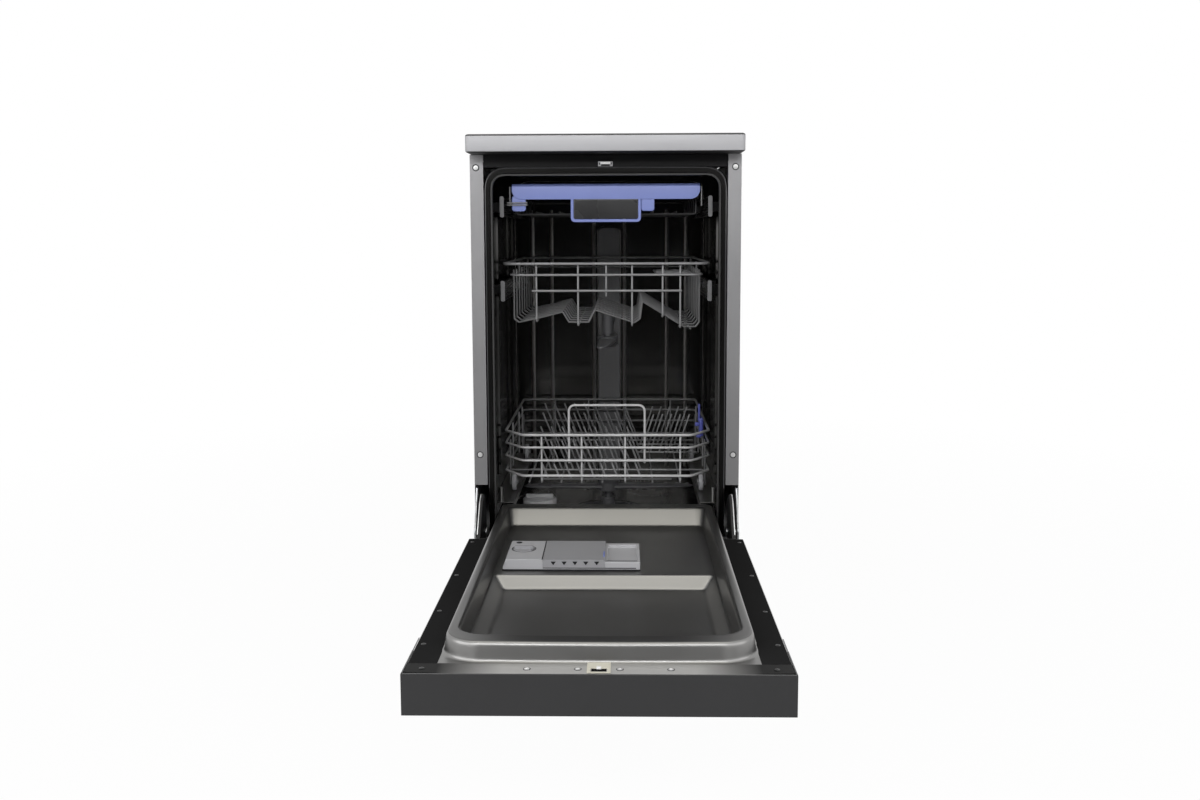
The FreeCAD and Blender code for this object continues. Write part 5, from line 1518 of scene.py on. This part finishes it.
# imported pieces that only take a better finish
for node, finish in (
    ("back_panel", "zinc"),
    ("filter_plate", "filter"),
    ("display_window", "pane"),
    ("control_board", "board"),
):
    nodes[node].data.materials.clear()
    nodes[node].data.materials.append(finishes[finish])

# studio: pale floor, white surround, broad lamps above and at the sides, in metres and watts
studio = {
    "floor": 14.0,
    "nearEdge": -2.4,
    "floorTone": (0.55, 0.55, 0.55, 1.0),
    "floorGlow": (0.6, 2.2, 0.97),  # from and to this far off, and the share of glow near the object
    "floorDepth": (-1.9, -1.1),
    "roomDepth": (-0.85, -0.25),
    "front": 0.01,  # what metal sees in front of the object
    "world": 0.24,
    "target": (0.0, -0.2, 0.6),
    "overhead": 14.0,
    "left": 48.0,
    "right": 30.0,
    "above": 25.0,
    "strips": 2.2,
}


# 1 for one kind of ray, else 0
def lightRay(tree, kind):
    return Link(tree, tree.nodes.new("ShaderNodeLightPath").outputs["Is " + kind + " Ray"])


# two shaders mixed by a factor into the output
def blendInto(output, factor, first, second):
    tree = factor.tree
    join = tree.nodes.new("ShaderNodeMixShader")
    for socket, target in zip((factor.socket, first.outputs[0], second.outputs[0]), join.inputs):
        tree.links.new(socket, target)
    tree.links.new(join.outputs[0], tree.nodes[output].inputs["Surface"])


floorMesh = bpy.data.meshes.new("floor")
far, near = studio["floor"], studio["nearEdge"]
floorMesh.from_pydata([(-far, near, 0), (far, near, 0), (far, far, 0), (-far, far, 0)], [], [(0, 1, 2, 3)])
floor = bpy.data.objects.new("floor", floorMesh)
scene.collection.objects.link(floor)
floorFinish, floorShader, place = newFinish("floor white", Base_Color=studio["floorTone"], Roughness=0.9)
tree = floorFinish.node_tree
seen = lightRay(tree, "Glossy") + lightRay(tree, "Transmission")
seen = seen * place.axis(1).slope(*studio["floorDepth"], studio["front"])
seen = (seen + lightRay(tree, "Camera")).smaller(1.0)
away = place.node("ShaderNodeVectorMath", {"operation": "LENGTH"}, {0: place}, 1)  # metres from the middle
seen = seen * away.slope(*studio["floorGlow"])
blendInto("Material Output", seen, floorShader, tree.nodes.new("ShaderNodeEmission"))
floorMesh.materials.append(floorFinish)

world = bpy.data.worlds.new("studio")
scene.world = world
world.use_nodes = True
tree = world.node_tree
white = tree.nodes["Background"]
soft = tree.nodes.new("ShaderNodeBackground")
for light in (white, soft):
    light.inputs["Color"].default_value = (1, 1, 1, 1)
soft.inputs["Strength"].default_value = studio["world"]
cameraRay = lightRay(tree, "Camera")
seen = (cameraRay + lightRay(tree, "Glossy") + lightRay(tree, "Transmission")).smaller(1.0)
# metal sees the same white behind and beside the object, and the unlit end of the room in front of it
sky = Link(tree, tree.nodes.new("ShaderNodeTexCoord").outputs["Generated"])
room = sky.axis(1).slope(*studio["roomDepth"], studio["front"]).larger(cameraRay)
tree.links.new(room.socket, white.inputs["Strength"])
blendInto("World Output", seen, soft, white)


# a rectangular lamp whose axis runs from its place to the target
def lamp(name, place, size, power, target=studio["target"], colour=(1.0, 1.0, 1.0)):
    data = bpy.data.lights.new(name, "AREA")
    data.shape = "RECTANGLE"
    data.size, data.size_y = size
    data.energy = power
    data.color = colour
    made = bpy.data.objects.new(name, data)
    scene.collection.objects.link(made)
    back = np.subtract(place, target)
    back = back / np.linalg.norm(back)
    right = np.cross((0, 0.01, 1), back)
    right = right / np.linalg.norm(right)
    up = np.cross(back, right)
    rows = zip(np.stack([right, up, back], 1), place)
    made.matrix_world = Matrix([(*row, p) for row, p in rows] + [(0, 0, 0, 1)])


lamp("overhead", (0.0, -0.98, 3.2), (2.0, 1.4), studio["overhead"], (0.0, -0.7, 0.3), (1.0, 0.965, 0.83))
lamp("above camera", (0.0, -2.4, 1.6), (1.8, 0.6), studio["above"])
lamp("left", (-2.3, -2.3, 1.5), (3.0, 2.0), studio["left"])
lamp("right", (2.5, -2.2, 1.5), (3.0, 2.0), studio["right"])
for side in (-1, 1):
    lamp("strip", (side * 0.75, -2.35, 0.8), (0.16, 1.2), studio["strips"])

# camera of the photograph: 33 mm on a 36 mm frame, a little above the racks
view = {
    "place": (27.0, -2076.0, 696.0),
    "pitch": 6.14,
    "yaw": 1.16,
    "roll": 0.21,
    "lens": 33.0,
    "sensor": 36.0,
    "shift": -0.0427,
}
pitch, yaw, roll = (math.radians(view[angle]) for angle in ("pitch", "yaw", "roll"))
turn = np.array([(math.cos(yaw), -math.sin(yaw), 0), (math.sin(yaw), math.cos(yaw), 0), (0, 0, 1)])
ahead = turn @ (0, math.cos(pitch), -math.sin(pitch))
level = turn @ (1, 0, 0)
below = turn @ (0, -math.sin(pitch), -math.cos(pitch))
right = math.cos(roll) * level + math.sin(roll) * below
down = math.cos(roll) * below - math.sin(roll) * level
columns = np.stack([right, -down, -ahead], 1)
lens = bpy.data.cameras.new("camera")
lens.lens = view["lens"]
lens.sensor_width = view["sensor"]
lens.shift_y = view["shift"]
camera = bpy.data.objects.new("camera", lens)
scene.collection.objects.link(camera)
camera.matrix_world = Matrix([(*row, q * mm) for row, q in zip(columns, view["place"])] + [(0, 0, 0, 1)])
scene.camera = camera
print("studio")
